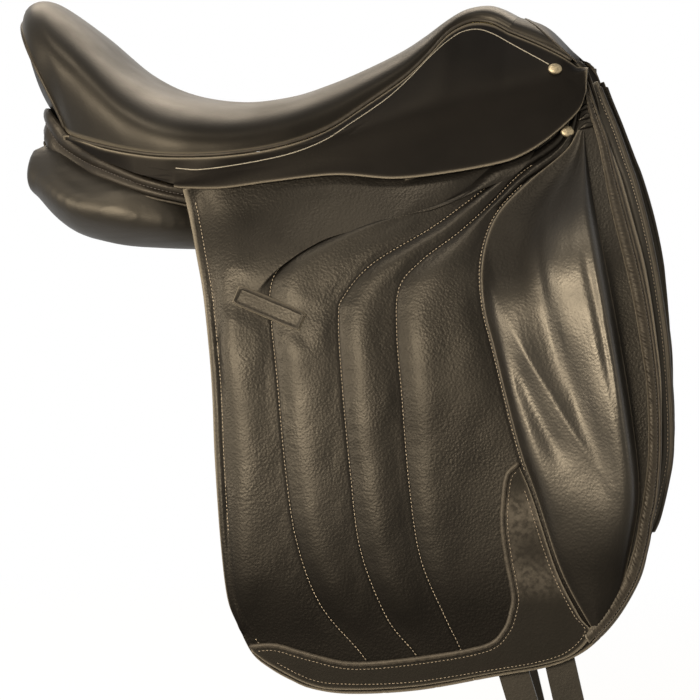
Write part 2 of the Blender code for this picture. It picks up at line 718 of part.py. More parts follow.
def make_blocks():
    rows = 18
    rear = curve(BLOCK_REAR, rows)
    front = curve(BLOCK_FRONT, rows)
    across = np.array([0, 0.12, 0.27, 0.45, 0.62, 0.77, 0.89, 0.97, 1.0])
    grid = np.array([rear * (1 - t) + front * t for t in across])
    shape = np.array([0, 0.16, 0.42, 0.7, 0.9, 1, 0.96, 0.74, 0.1])
    v = np.linspace(0, 1, rows)
    tall = np.interp(v, *np.array(BLOCK_RISE).T)
    height = 2.2 + BLOCK_HEIGHT * shape[:, None] * tall[None]
    for side_name, side in SIDES:
        side_sheet("knee_block_" + side_name, side, grid, ON_FLAP, ON_FLAP + height, leather("block"))


def make_flap_trim():
    upper = curve(PATCH_UPPER, 26)
    lower = curve(PATCH_LOWER, 26)
    patch = between(upper, lower, 4)
    inner = curve(BINDING_INNER, 22)
    outer = curve(BINDING_OUTER, 22)
    binding = between(inner, outer, 4)
    bulge = np.array([1.2, 3.0, 3.0, 1.2])[:, None]
    a, b, c, d = (np.array(p, float) for p in STRIP_CORNERS)
    along = np.linspace(0, 1, 5)[:, None]
    strip = between(a + (b - a) * along, d + (c - d) * along, 3)
    for side_name, side in SIDES:
        side_sheet("wear_patch_" + side_name, side, patch, ON_FLAP, ON_FLAP + 2.0, leather("patch"))
        side_sheet("flap_binding_" + side_name, side, binding, ON_FLAP, ON_FLAP + bulge, leather("binding"))
        side_sheet("flap_strip_" + side_name, side, strip, ON_FLAP, ON_FLAP + 2.8, leather("strip"))
        nickel = material("worn_nickel", (0.42, 0.36, 0.28), 0.35, 1.0)
        x, z = FLAP_NAIL
        seat = (x, side * (side_y(x, z) + 2.2), z)
        disc("flap_nail_" + side_name, seat, (0.35, side, 0.45), nickel)
        x, y, z = SKIRT_NAIL
        disc("skirt_nail_" + side_name, (x, side * y, z), (0.25, side, 0.62), nickel)


def sweat_top(x):
    """Top edge of the sweat flap: under the bar recess, then up in a tongue beside the pommel."""
    level = np.minimum(fold_z(x) - RECESS_DEPTH, SWEAT_HEAD)
    return level + (SWEAT_FRONT[0][1] - SWEAT_HEAD) * ramp(x, *SWEAT_TONGUE)


def make_sweat_flaps():
    rows = 12
    rear = curve(SWEAT_REAR, rows)
    front = curve(SWEAT_FRONT, rows)
    low = curve(SWEAT_LOW, 10)
    grid = between(rear, front, 10)
    v = np.linspace(0, 1, rows)
    grid += (low - grid[:, -1])[:, None] * (v[None, :, None] ** 2.5)
    grid[..., 1] += (sweat_top(grid[:, 0, 0]) - grid[:, 0, 1])[:, None] * np.clip(1 - v * 3, 0, 1)[None]
    for side_name, side in SIDES:
        low_out = SWEAT_OUT - SWEAT_LEATHER
        side_sheet("sweat_flap_" + side_name, side, grid, low_out, SWEAT_OUT, leather("sweat"))


def make_webs():
    """Straps from under the tree's rails, out over the sweat flap's top, to the inner side of the billets."""
    rail = rail_grid(TREE_DEPTH + TREE_WOOD)[::-1, -1]
    for name, start, end, low in WEBS:
        x = np.linspace(start, end, 3)
        tree_x, tree_y, tree_z = (np.interp(x, rail[:, 0], rail[:, k]) for k in range(3))
        behind = BAR_IN - 3.2 if name == "front" else WEB_OUT
        z = np.full(3, low)
        rows = [(side_y(x, z) + WEB_OUT, z)]
        for drop, out in ((64, WEB_OUT), (48, WEB_OUT), (41, behind), (26, behind), (12, behind - 2)):
            z = fold_z(x) - drop
            rows.append((side_y(x, z) + out, z))
        last_y, last_z = rows[-1]
        rows.append(((last_y * 2 + tree_y) / 3 - 1, (last_z + tree_z) / 2))
        rows.append((tree_y + 2.2, tree_z - 3.0))
        face = np.array([np.stack([x, y, z], axis=-1) for y, z in rows])
        for side_name, side in SIDES:
            outer = face * np.array([1, side, 1])
            inner = outer - outward(outer, (60, 0, 60)) * WEB_THICK
            finish = material("girth_web", (0.42, 0.38, 0.28), 0.85)
            slab("girth_web_" + name + "_" + side_name, inner, outer, finish)


def make_billets():
    for place_name, top, foot in BILLETS:
        top = np.array(top)
        for side_name, side in SIDES:
            end = np.array(foot) - (LEFT_FOOT_BACK if side > 0 else 0.0, 0.0)
            along = (end - top) / np.linalg.norm(end - top)
            across = np.array([-along[1], along[0]]) * BILLET_WIDTH / 2
            length = np.linalg.norm(end - top)
            line = top[None] + np.linspace(0, length, 15)[:, None] * along[None]
            grid = np.array([line - across, line, line + across])
            grid[0, -1] -= along * 7
            grid[2, -1] -= along * 7
            name = "billet_" + place_name + "_" + side_name
            low_out = BILLET_OUT - BILLET_THICK
            strap = side_sheet(name, side, grid, low_out, BILLET_OUT, leather("billet"))
            for k in range(HOLES):
                x, z = top + along * (length - FIRST_HOLE - k * HOLE_PITCH)
                y = side * (side_y(x, z) + BILLET_OUT - BILLET_THICK / 2)
                bpy.ops.mesh.primitive_cylinder_add(
                    vertices=8,
                    radius=HOLE_RADIUS * MM,
                    depth=12 * MM,
                    location=(x * MM, y * MM, z * MM),
                    rotation=(np.pi / 2, 0, 0),
                )
                punch = bpy.context.active_object
                punch.name = "punch"
                combine(strap, punch, "DIFFERENCE")


# Panels


def make_panels():
    xs = [row[0] for row in PANEL]
    flat = [[c for pair in row[1:] for c in pair] for row in PANEL]
    table = np.array(flat, float)
    for side_name, side in SIDES:
        rings = []
        for x in PANEL_AT:
            six = np.array([np.interp(x, xs, table[:, k]) for k in range(12)]).reshape(6, 2)
            if x in (PANEL_AT[0], PANEL_AT[-1]):
                six = six.mean(axis=0) + (six - six.mean(axis=0)) * PANEL_END
            ring = curve(np.vstack([six, six[:1]]), 15)[:-1]
            rings.append([(x, side * y, z) for y, z in ring])
        loft("panel_" + side_name, rings, leather("panel"))
        path = curve(BAND_PATH, 16) * np.array([1, side, 1])
        section = [(-side * a, b) for a, b in BAND_SECTION]
        sweep("rear_facing_" + side_name, path, section, leather("band"))
        z = np.linspace(120, -16, 12)
        edge = curve(SWEAT_FRONT, 60)
        x = np.interp(z, edge[::-1, 1], edge[::-1, 0]) - 16
        roll = np.stack([x, side * (side_y(x, z) + ROLL_OUT), z], axis=-1)
        taper = np.interp(np.linspace(0, 1, 12), (0, 0.15, 0.8, 1), (0.7, 1, 1, 0.5))
        section = ellipse(16, 17, 10)
        sweep("front_roll_" + side_name, roll, section, leather("roll"), up=(1.0, 0.0, 0.3), scale=taper)


# Stirrup bars


def make_bars():
    steel = material("forged_steel", (0.36, 0.36, 0.37), 0.3, 1.0)
    slope = np.arctan2(FOLD_FRONT[2] - FOLD_REAR[2], FOLD_FRONT[0] - FOLD_REAR[0])
    for side_name, side in SIDES:
        z = fold_z(BAR_X) - BAR_DROP
        y = side_y(BAR_X, z) + BAR_IN
        yaw = np.arctan2(side_y(BAR_X + 30, z + 8) - side_y(BAR_X - 30, z - 8), 60)
        lean = np.arctan2(side_y(BAR_X, z - 12) - side_y(BAR_X, z + 12), 24)
        frame = (
            Matrix.Translation(Vector((BAR_X, side * y, z)) * MM)
            @ Matrix.Rotation(side * yaw, 4, "Z")
            @ Matrix.Rotation(-slope, 4, "Y")
            @ Matrix.Rotation(side * lean, 4, "X")
        )
        half = BAR_LENGTH / 2
        reach = PLATE_THICK + SLOT + BAR_THICK
        outline = (
            (-half, 0), (half, 0), (half + 7, 4), (half + 7, reach - 4), (half + 2, reach),
            (-half + 9, reach), (-half + 9, reach - 2.2), (-half, reach - 2.2),
            (-half, reach - BAR_THICK), (half - 4, reach - BAR_THICK), (half, reach - BAR_THICK - 2),
            (half, PLATE_THICK + 2), (half - 3, PLATE_THICK), (-half, PLATE_THICK),
        )
        outline = [(a, side * b) for a, b in outline]
        bar = extruded("stirrup_bar_" + side_name, outline, BAR_HEIGHT, frame, steel)
        long = PLATE_LENGTH / 2
        tall = PLATE_HEIGHT / 2
        plate_outline = (
            (-long, -tall * 0.5), (-long + 8, -tall), (long - 8, -tall), (long, -tall * 0.5),
            (long, tall * 0.5), (long - 8, tall), (-long + 8, tall), (-long, tall * 0.5),
        )
        shift = Matrix.Translation(Vector((2, side * (PLATE_THICK / 2 - 0.05), 0)) * MM)
        lay = frame @ shift @ Matrix.Rotation(np.pi / 2, 4, "X")
        plate = extruded("bar_plate", plate_outline, PLATE_THICK - 0.1, lay, steel)
        combine(bar, plate, "UNION")
        pin_x = -half + 4.5
        catch_y = reach - 2.2 + GAP
        swing = frame @ Matrix.Translation(Vector((pin_x, side * (catch_y + 1.1), 0)) * MM)
        catch_outline = (
            (-22, -3), (-19, -4.5), (0, -4.5), (3.2, -3.2), (4.2, 0),
            (3.2, 3.2), (0, 4.5), (-19, 4.5), (-22, 3),
        )
        catch_frame = swing @ Matrix.Rotation(np.pi / 2, 4, "X")
        catch = extruded("bar_catch_" + side_name, catch_outline, 2.0, catch_frame, steel)
        hole = round_bar("catch_bore", swing, PIN_RADIUS + GAP, 8.0, None)
        combine(catch, hole, "DIFFERENCE")
        pin_frame = swing @ Matrix.Translation(Vector((0, side * 0.25, 0)) * MM)
        round_bar("catch_pin_" + side_name, pin_frame, PIN_RADIUS, 2.4, steel)


def round_bar(name, frame, radius, length, finish):
    """A cylinder along the frame's own Y."""
    mesh = bpy.data.meshes.new(name)
    shape = bmesh.new()
    bmesh.ops.create_cone(
        shape, cap_ends=True, segments=12, radius1=radius * MM, radius2=radius * MM, depth=length * MM
    )
    shape.to_mesh(mesh)
    shape.free()
    made = place(name, mesh, finish)
    made.matrix_world = frame @ Matrix.Rotation(np.pi / 2, 4, "X")
    return made


def hang_pieces():
    """Origins of the moving pieces, each on its joint's axis."""
    for side_name, side in SIDES:
        fold = Vector((FOLD_REAR[0], side * FOLD_REAR[1], FOLD_REAR[2]))
        pivots = {name: fold for name in ("skirt", *FLAP_PIECES)}
        for place_name, (x, z), _ in BILLETS:
            y = side * (side_y(x, z) + BILLET_OUT - BILLET_THICK / 2)
            pivots["billet_" + place_name] = Vector((x, y, z))
        for name, pivot in pivots.items():
            thing = bpy.data.objects[name + "_" + side_name]
            point = Matrix.Translation(pivot * MM)
            thing.data.transform(point.inverted() @ thing.matrix_world)
            thing.matrix_world = point


clear_scene()
make_seat()
make_tree()
make_head()
make_facings()
make_welts()
make_skirts()
make_flaps()
make_blocks()
make_flap_trim()
make_sweat_flaps()
make_webs()
make_billets()
make_panels()
make_bars()
hang_pieces()
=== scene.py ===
import math

import bmesh
import bpy
import numpy as np
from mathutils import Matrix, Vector


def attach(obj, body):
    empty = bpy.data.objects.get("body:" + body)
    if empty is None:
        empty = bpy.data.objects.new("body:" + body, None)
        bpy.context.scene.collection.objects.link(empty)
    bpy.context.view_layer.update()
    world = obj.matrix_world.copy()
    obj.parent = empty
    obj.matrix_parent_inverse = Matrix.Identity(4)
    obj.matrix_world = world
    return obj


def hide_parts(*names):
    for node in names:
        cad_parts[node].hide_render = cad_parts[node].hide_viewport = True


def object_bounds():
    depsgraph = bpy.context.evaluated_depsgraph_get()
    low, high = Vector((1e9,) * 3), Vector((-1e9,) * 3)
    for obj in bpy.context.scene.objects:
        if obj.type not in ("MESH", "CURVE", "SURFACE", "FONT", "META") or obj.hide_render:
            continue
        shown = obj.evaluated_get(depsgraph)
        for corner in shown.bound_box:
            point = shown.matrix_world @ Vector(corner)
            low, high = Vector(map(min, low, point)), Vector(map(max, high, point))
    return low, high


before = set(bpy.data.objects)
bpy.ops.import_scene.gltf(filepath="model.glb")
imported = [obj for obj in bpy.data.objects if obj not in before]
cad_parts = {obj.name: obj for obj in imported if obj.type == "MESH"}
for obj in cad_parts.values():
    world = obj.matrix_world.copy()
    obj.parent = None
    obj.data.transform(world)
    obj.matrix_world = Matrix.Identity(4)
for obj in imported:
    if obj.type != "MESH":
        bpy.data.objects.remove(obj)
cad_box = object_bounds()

# Tables are in millimetres; +X points to the pommel, +Y to the saddle's left, +Z up.
MM = 0.001
SIDES = (("right", -1.0), ("left", 1.0))

# Thickness of each leather
SEAT_LEATHER = 3.0
FLAP_LEATHER = 3.2
SKIRT_LEATHER = 3.5
SWEAT_LEATHER = 3.0

# How far each layer stands off the side surface
SKIRT_LIFT_TOP = 8.0
SKIRT_LIFT_LOW = 10.5
SWEAT_OUT = -13.5
ROLL_OUT = -26.4
ON_FLAP = 0.4

# The straight line that skirt and flap are nailed on, and the half width of the side at heights
FOLD_REAR = (-131.0, 146.0, 62.0)
FOLD_FRONT = (186.0, 85.0, 148.0)
BODY_Z = (-520, -380, -200, -120, -60, 0, 30, 60, 90, 120, 160, 200)
BODY_Y = (188, 188, 179, 171, 162, 147, 136, 123, 111, 98, 80, 62)

# Seat: middle line x, z, then the edge x, y, z, from the pommel to the cantle rim
SEAT = (
    (149, 202, 143, 43, 191), (135, 209, 129, 38, 198), (122, 212, 115, 38, 200), (104, 209, 103, 42, 197),
    (88, 200, 90, 52, 188), (69, 186, 74, 66, 169), (49, 173, 56, 79, 151), (19, 158, 27, 93, 130),
    (-12, 145, -6, 109, 108), (-47, 134, -45, 124, 94), (-92, 129, -91, 134, 87),
    (-141, 136, -138, 135, 86), (-181, 155, -170, 128, 89), (-220, 188, -199, 114, 94),
    (-253, 212, -222, 99, 99), (-268, 217, -230, 91, 102), (-279, 212, -233, 86, 104),
    (-283, 200, -235, 83, 105),
)
# How far the seat's flanks swell: x of the middle line, swell
SEAT_BULGE = ((149, 3), (60, 0), (-92, 3), (-180, 8), (-230, 13), (-283, 15))
# Pommel facing, drawn as the seat is; the piping under the seat runs along its first rows
FACING = (
    (148.4, 202.2, 142.6, 43.4, 191.2), (168, 196, 168, 56, 181), (180, 187, 189, 67, 171),
    (187, 175, 203, 68.5, 162), (187, 163, 213, 69.5, 151), (182, 155, 217, 68, 140),
    (177, 146, 220, 67, 129), (172, 137, 222, 66, 117),
)
FACING_PIPED = 4
# Back of the cantle at its middle: z, x
CANTLE_BACK = ((201, -284), (176, -279), (157, -274), (139, -268.5), (121, -260), (104, -246))

# Outlines of the flap and what is on it, x and z
FLAP_REAR = (
    (-124, 56), (-112, 6), (-103, -36), (-95, -103), (-91, -168), (-86, -236), (-80, -282), (-71, -305),
)
FLAP_FRONT = (
    (210, 147), (219, 119), (228, 98), (240, 69), (252, 31), (261.5, -1), (268, -33), (273, -65),
    (277, -98), (278, -131), (278, -163), (275.5, -196), (272, -217),
)
FLAP_LOW = (
    (-71, -306), (-59, -328), (-43, -340.5), (-27, -349), (-9, -356), (23, -359.5), (79, -355.5),
    (143, -343), (184, -335), (208, -326), (226, -313), (245, -291), (262, -260), (269, -233), (272, -217),
)
# The four sewn grooves
CHANNELS = (
    ((146, 83), (133, 72), (106, 50), (75, 34), (25, 27), (-17, 10), (-41, -9), (-48, -28), (-46, -55),
     (-40, -103), (-32, -177), (-22, -236), (-2, -287), (34, -329), (50, -357)),
    ((196, 140), (190, 104), (155, 78), (110, 43), (84, 24), (37, -5), (14, -32), (10, -50), (14, -103),
     (22, -177), (31, -241), (53, -296), (77, -326), (94, -353)),
    ((202, 142), (194, 98), (158, 70), (132, 43), (108, 21), (77, -3), (60, -25), (59, -62), (64, -113),
     (71, -186), (81, -247), (102, -296), (112, -316), (126, -347)),
    ((208, 144), (198, 92), (162, 63), (137, 34), (127, -1), (129, -38), (139, -76), (159, -151),
     (175, -196), (195, -255), (220, -301), (230, -309)),
)
BLOCK_FRONT = (
    (210, 104), (213, 84), (218, 56), (230, 1), (244, -68), (256, -140), (260.5, -184), (258.5, -212),
    (252, -247), (245, -274), (230, -306),
)
BLOCK_REAR = (
    (205, 106), (194, 88), (164, 62), (139, 34), (129, -1), (131, -38), (141, -76), (161, -151),
    (177, -196), (197, -255), (219, -296), (226, -304),
)
# Cross sections of the knee block: height z, then share of the way across and how far it stands out
BLOCK_SECTIONS = (
    (106, ((0, 0.2), (0.5, 0.4), (0.85, 0.5), (1, 0.2))),
    (88, ((0, 0.5), (0.5, 2.5), (0.7, 5), (0.85, 6.5), (0.94, 5.5), (1, 1.5))),
    (66, ((0, 0.5), (0.3, 2), (0.5, 6), (0.7, 13), (0.85, 17), (0.94, 15), (1, 2))),
    (42, ((0, 0.5), (0.15, 2), (0.3, 5), (0.45, 11), (0.6, 20), (0.72, 27), (0.82, 31), (0.9, 32),
          (0.96, 26), (1, 3))),
    (20, ((0, 0.5), (0.12, 3), (0.3, 7), (0.4, 12), (0.5, 22), (0.6, 30), (0.7, 34), (0.8, 37),
          (0.88, 38.5), (0.94, 37), (0.98, 28), (1, 3))),
    (-4, ((0, 0.8), (0.06, 3), (0.2, 7), (0.3, 10), (0.4, 15), (0.5, 25), (0.56, 29.5), (0.62, 32),
          (0.72, 34.5), (0.82, 37), (0.88, 38), (0.94, 37), (0.98, 28), (1, 3))),
    (-28, ((0, 1), (0.05, 8.5), (0.1, 13), (0.2, 16.5), (0.3, 18.5), (0.4, 19), (0.48, 21), (0.55, 26),
           (0.62, 29.5), (0.72, 32), (0.82, 34.5), (0.88, 35.5), (0.94, 35), (0.98, 27), (1, 3))),
    (-60, ((0, 1), (0.05, 9.5), (0.1, 14), (0.2, 17), (0.28, 18.5), (0.38, 18), (0.47, 17.5), (0.54, 21),
           (0.6, 25.5), (0.67, 28.5), (0.76, 31), (0.85, 33.5), (0.92, 33), (0.97, 26), (1, 3))),
    (-107, ((0, 1), (0.05, 9), (0.1, 13), (0.2, 15.5), (0.33, 16.5), (0.45, 16.5), (0.57, 17), (0.66, 22),
            (0.74, 27), (0.81, 29.5), (0.87, 31), (0.93, 30.5), (0.97, 24), (1, 3))),
    (-160, ((0, 1), (0.07, 9), (0.13, 12.5), (0.2, 14), (0.36, 15.5), (0.5, 16.5), (0.65, 17.5), (0.76, 22),
            (0.84, 25.5), (0.91, 26), (0.96, 21), (1, 3))),
    (-200, ((0, 1), (0.08, 7.5), (0.15, 10.5), (0.22, 12), (0.35, 13.5), (0.5, 15.5), (0.65, 17.5),
            (0.78, 19.5), (0.88, 20.5), (0.95, 16), (1, 3))),
    (-238, ((0, 1), (0.1, 5), (0.2, 7.5), (0.35, 10), (0.5, 12), (0.65, 13), (0.8, 12.5), (0.92, 9),
            (1, 2))),
    (-274, ((0, 0.8), (0.2, 4), (0.5, 6.5), (0.8, 5.5), (1, 1.5))),
    (-308, ((0, 0.5), (0.5, 1.5), (1, 0.5))),
)
# Folds and swellings of the knee block: x, z line, height, half width
BLOCK_RIDGE = (
    (138, -26), (152, -50), (163, -70), (175, -90), (187, -108), (198, -126), (209, -143), (223, -163),
    (240, -186),
)
BLOCK_FOLDS = (
    (((221, 40), (225, 7), (230, -11), (235, -36), (240, -60), (244, -84), (248, -112), (252, -142)),
     1.4, 5.5),
    (((212, 30), (216, 5), (221, -19), (227, -44), (232, -68), (237, -92), (242, -120)), -2.0, 5.0),
    (BLOCK_RIDGE, 2.2, 9.0),
    (BLOCK_RIDGE, 0.6, 3.0),
    (((139, -50), (145, -72), (151, -94), (158, -116), (165, -138), (173, -160), (182, -180), (194, -204)),
     1.2, 9.0),
    (((156, -74), (163, -94), (171, -114), (181, -134), (192, -154), (205, -176)), -2.8, 8.5),
    (((176, 12), (177, -6), (179, -24), (182, -42)), -1.2, 4.5),
)
PATCH_UPPER = (
    (161, -168), (152, -178), (149, -202), (149, -222), (152, -244), (158, -275), (157, -288),
    (151, -305), (134, -319), (78, -330), (25, -335), (-12, -328), (-39, -321), (-60, -322),
)
PATCH_LOWER = (
    (162, -170), (173, -196), (193, -255), (212, -292), (222, -306), (208, -323), (184, -332),
    (143, -340), (79, -352), (23, -356), (-9, -353), (-43, -337), (-59, -326),
)
STRIP_CORNERS = ((-74, -23), (-17, -46), (-22, -60), (-79, -38))
# Gathered roll along the flap's front
BINDING_INNER = (
    (206, 146), (213.5, 120), (221, 98), (227, 73), (234, 42), (246, -1), (254, -33), (260, -65),
    (265.5, -98), (267.6, -131), (267.7, -163), (264, -196), (261, -214), (257.5, -234), (249, -260),
    (234, -287), (217, -307),
)
BINDING_OUTER = (
    (208.5, 146), (217.5, 120), (226, 98), (233, 73), (243, 40), (255, -1), (262.5, -33), (268, -65),
    (272.3, -98), (274.5, -131), (274.5, -163), (272, -196), (268.5, -214), (265.5, -234), (257, -263),
    (240, -292), (221, -314),
)
PLEATS = (((203, 121), (218, 127)), ((205, 114), (220, 119)), ((206, 107), (219, 110)))

# Skirt: its lower edge, its tail behind the fold line, and the line pressed into it
SKIRT_LOW = (
    (-130, 59), (-122, 58), (-90, 58), (-53, 63), (3, 69), (53, 66), (99, 71), (137, 78), (156, 84),
    (175, 95), (193, 110), (206, 124), (211, 139),
)
SKIRT_TAIL = ((-234, 98.5), (-218, 91), (-199, 81), (-166, 70), (-131, 61))
SKIRT_TAIL_Y = ((-234, 91), (-218, 103.5), (-199, 117), (-166, 135), (-131, 146))
SKIRT_CREASE = (
    (-129, 74), (-108, 73), (-72, 78), (-35, 86), (-7, 97), (14, 111), (42, 131), (61, 149), (78, 168),
    (93, 182), (104, 189), (117, 191), (130, 187), (145, 179), (164, 169), (179, 161),
)
SWEAT_FRONT = (
    (219, 146), (225, 131), (236, 106), (246, 80), (253, 62), (262, 32), (270, -1), (276, -34),
    (281, -66), (284, -99), (286, -132), (286, -160), (283, -181), (276, -212), (269, -228),
)
# The left sweat flap's front edge hangs this much further back: height, distance
FAR_SWEAT_BACK = (
    (-228, 0), (-200, 3), (-160, 8), (-110, 10), (-60, 8), (-20, 5), (30, 3.5), (100, 2), (146, 0),
)
SWEAT_REAR = ((-105, 20), (-98, -36), (-90, -103), (-86, -168), (-80, -236), (-72, -290))
SWEAT_LOW = (
    (-72, -290), (-50, -322), (-9, -344), (40, -349), (79, -347), (143, -336), (184, -328),
    (220, -308), (243, -284), (260, -253), (269, -228),
)
SWEAT_HEAD = 106.0
SWEAT_TONGUE = (196.0, SWEAT_FRONT[0][0])

# The flap ends this far under the fold line, and deeper in the recess for the stirrup bar
FLAP_TOP = 8.0
RECESS = (62.0, 172.0)
RECESS_DEPTH = 50.0
FLAP_NAIL = (195.5, 104.5)
SKIRT_NAIL = (184.5, 81.6, 157.0)

# Panel: x, then six corners y, z around each cross section
PANEL = (
    (-263, (70, 88), (68, 68), (82, 58), (94, 66), (92, 78), (82, 88)),
    (-250, (54, 101), (50, 52), (88, 36), (115, 52), (110, 72), (80, 95)),
    (-222, (42, 88), (40, 38), (94, 16), (134, 36), (130, 57), (92, 76)),
    (-181, (38, 84), (38, 28), (96, 6), (141, 27), (139, 51), (106, 64)),
    (-140, (38, 82), (38, 26), (94, 3), (135, 21), (130, 43), (98, 59)),
    (-112, (38, 78), (38, 28), (90, 1), (118, 20), (107, 46), (78, 78)),
    (-60, (38, 74), (38, 30), (90, 0), (116, 16), (101, 48), (76, 74)),
    (0, (38, 84), (40, 38), (95, -2), (118, 8), (97, 50), (72, 82)),
    (60, (38, 92), (42, 50), (98, -6), (124, 0), (97, 48), (68, 88)),
    (120, (38, 102), (44, 62), (103, -8), (127, 0), (88, 46), (62, 92)),
    (180, (40, 106), (48, 70), (106, -8), (127, 2), (88, 48), (62, 94)),
    (206, (45, 104), (54, 70), (106, 0), (123, 8), (90, 48), (66, 92)),
    (216, (58, 92), (68, 66), (104, 12), (114, 18), (90, 44), (72, 80)),
)
# Rear facing band: its middle line, and its section of two rolls, out and up
BAND_PATH = (
    (-260, 8, 109), (-259, 36, 110), (-253, 66, 110), (-247, 77, 102.5), (-237, 84.3, 91.6),
    (-218, 96, 80.5), (-199, 110.5, 73), (-166, 126.5, 61.5), (-145, 128, 55.5), (-125, 124.5, 51),
    (-112, 120.5, 47),
)
BAND_SECTION = (
    (-1.8, -6.9), (1.2, -6.9), (2.6, -6.1), (3.3, -4.6), (3.3, -3.0), (2.4, -1.2), (1.3, 0), (2.4, 1.2),
    (3.3, 3.0), (3.3, 4.6), (2.6, 6.1), (1.2, 6.9), (-1.8, 6.9),
)
# How much wider the band is than its section: x, share
BAND_WIDE = ((-260, 1.9), (-245, 1.85), (-218, 1.5), (-190, 1.22), (-161, 1.0), (-112, 0.92))

# Stitching: eight stitches to the inch, thread about 0.8 mm thick
STITCH_PITCH = 3.3
STITCH_LENGTH = 2.3
THREAD = 0.75

# Cloth simulation: the voxels and frames that a stuffed piece gets
VOXEL = 5.0
STUFFING_FRAMES = 20

# Camera: what the photograph shows, 612.5 mm across at the saddle's middle
VIEW_AZIMUTH, VIEW_ELEVATION, VIEW_DISTANCE = 6.6, 4.0, 3.2
VIEW_TARGET = (0.0012, 0.0, -0.0875)
VIEW_WIDTH = 0.6125


# Curves and surfaces


def curve(points, count):
    """Evenly spaced points on a smooth curve through the given ones."""
    p = np.array(points, float)
    ends = np.vstack([2 * p[0] - p[1], p, 2 * p[-1] - p[-2]])
    fine = []
    t = np.linspace(0, 1, 32, endpoint=False)[:, None]
    for a, b, c, d in zip(ends, ends[1:], ends[2:], ends[3:]):
        cubic = 3 * b - a - 3 * c + d
        square = 2 * a - 5 * b + 4 * c - d
        fine.append(0.5 * (2 * b + (c - a) * t + square * t**2 + cubic * t**3))
    return resample(np.vstack([*fine, p[-1:]]), count)


def resample(fine, count):
    run = lengths(fine)
    at = np.linspace(0, run[-1], count)
    return np.stack([np.interp(at, run, fine[:, k]) for k in range(fine.shape[1])], axis=1)


def lengths(line):
    return np.concatenate([[0], np.cumsum(np.linalg.norm(np.diff(line, axis=0), axis=1))])


def smooth_table(at, values):
    """The same table drawn as a smooth curve."""
    line = curve(np.column_stack([at, values]), 200)
    return line[:, 0], line[:, 1]


def runs(grid, axis):
    """How far each point of a grid is from its first row, measured along the columns."""
    steps = np.linalg.norm(np.diff(grid, axis=axis), axis=-1)
    return np.cumsum(np.insert(steps, 0, 0, axis=axis), axis=axis)


def ramp(value, low, high):
    t = np.clip((value - low) / (high - low), 0, 1)
    return t * t * (3 - 2 * t)


def blur(values, sigma, axis=0):
    """Gaussian smoothing along one axis, with the ends held."""
    reach = int(math.ceil(sigma * 3))
    weight = np.exp(-0.5 * (np.arange(-reach, reach + 1) / sigma) ** 2)
    weight /= weight.sum()
    padded = np.concatenate(
        [np.repeat(np.take(values, [0], axis), reach, axis), values,
         np.repeat(np.take(values, [-1], axis), reach, axis)], axis)
    return np.apply_along_axis(lambda line: np.convolve(line, weight, "valid"), axis, padded)


def fold_y(x):
    slope = (FOLD_FRONT[1] - FOLD_REAR[1]) / (FOLD_FRONT[0] - FOLD_REAR[0])
    return FOLD_REAR[1] + (x - FOLD_REAR[0]) * slope


def fold_z(x):
    slope = (FOLD_FRONT[2] - FOLD_REAR[2]) / (FOLD_FRONT[0] - FOLD_REAR[0])
    return FOLD_REAR[2] + (x - FOLD_REAR[0]) * slope


SMOOTH_Z = np.arange(-620.0, 302.0, 2.0)
SMOOTH_Y = blur(np.interp(SMOOTH_Z, BODY_Z, BODY_Y), 8.0)


def side_y(x, z):
    """Half width of the side surface: it leaves the straight fold line and joins the body's profile."""
    top = fold_y(x) - SKIRT_LIFT_TOP
    t = np.clip((fold_z(x) - z) / (fold_z(x) + 20), 0, 1)
    return top + (np.interp(z, SMOOTH_Z, SMOOTH_Y) - top) * (1 - (1 - t) ** 2)


def on_side(grid, out, side):
    """Points on the side surface from x, z and an offset outwards."""
    x, z = grid[..., 0], grid[..., 1]
    return np.stack([x, side * (side_y(x, z) + out), z], axis=-1)


def between(first, second, t):
    t = np.asarray(t)[:, None, None]
    return first[None] * (1 - t) + second[None] * t


def normals(grid):
    du = np.gradient(grid, axis=0)
    dv = np.gradient(grid, axis=1)
    n = np.cross(du, dv)
    return n / (np.linalg.norm(n, axis=-1, keepdims=True) + 1e-12)


def outward(grid, away_from):
    n = normals(grid)
    return n * np.sign(np.sum(n * (grid - np.array(away_from)), axis=-1).sum())


def to_line(points, line):
    """Distance of points from a polyline, and how far along it they are, in its own coordinates."""
    best = np.full(points.shape[:-1], 1e9)
    along = np.zeros(points.shape[:-1])
    run = lengths(line)
    for k, (a, b) in enumerate(zip(line, line[1:])):
        ab = b - a
        length = np.linalg.norm(ab) + 1e-9
        t = np.clip(((points - a) @ ab) / length**2, 0, 1)
        d = np.linalg.norm(points - a - t[..., None] * ab, axis=-1)
        closer = d < best
        best = np.where(closer, d, best)
        along = np.where(closer, run[k] + t * length, along)
    return best, along


def rough(x, y, z=0.0, seed=0, size=30.0):
    """Smooth seeded unevenness between -1 and 1, from a few waves."""
    rng = np.random.default_rng(seed)
    total = np.zeros(np.broadcast(x, y, z).shape)
    for _ in range(7):
        k = rng.normal(size=3) * 2.0 / size
        total = total + np.sin(x * k[0] + y * k[1] + z * k[2] + rng.uniform(0, 6.28))
    return total / 4.0


# Meshes


# A cut edge shows its bare colour over about this distance
RIM_FADE = 0.6


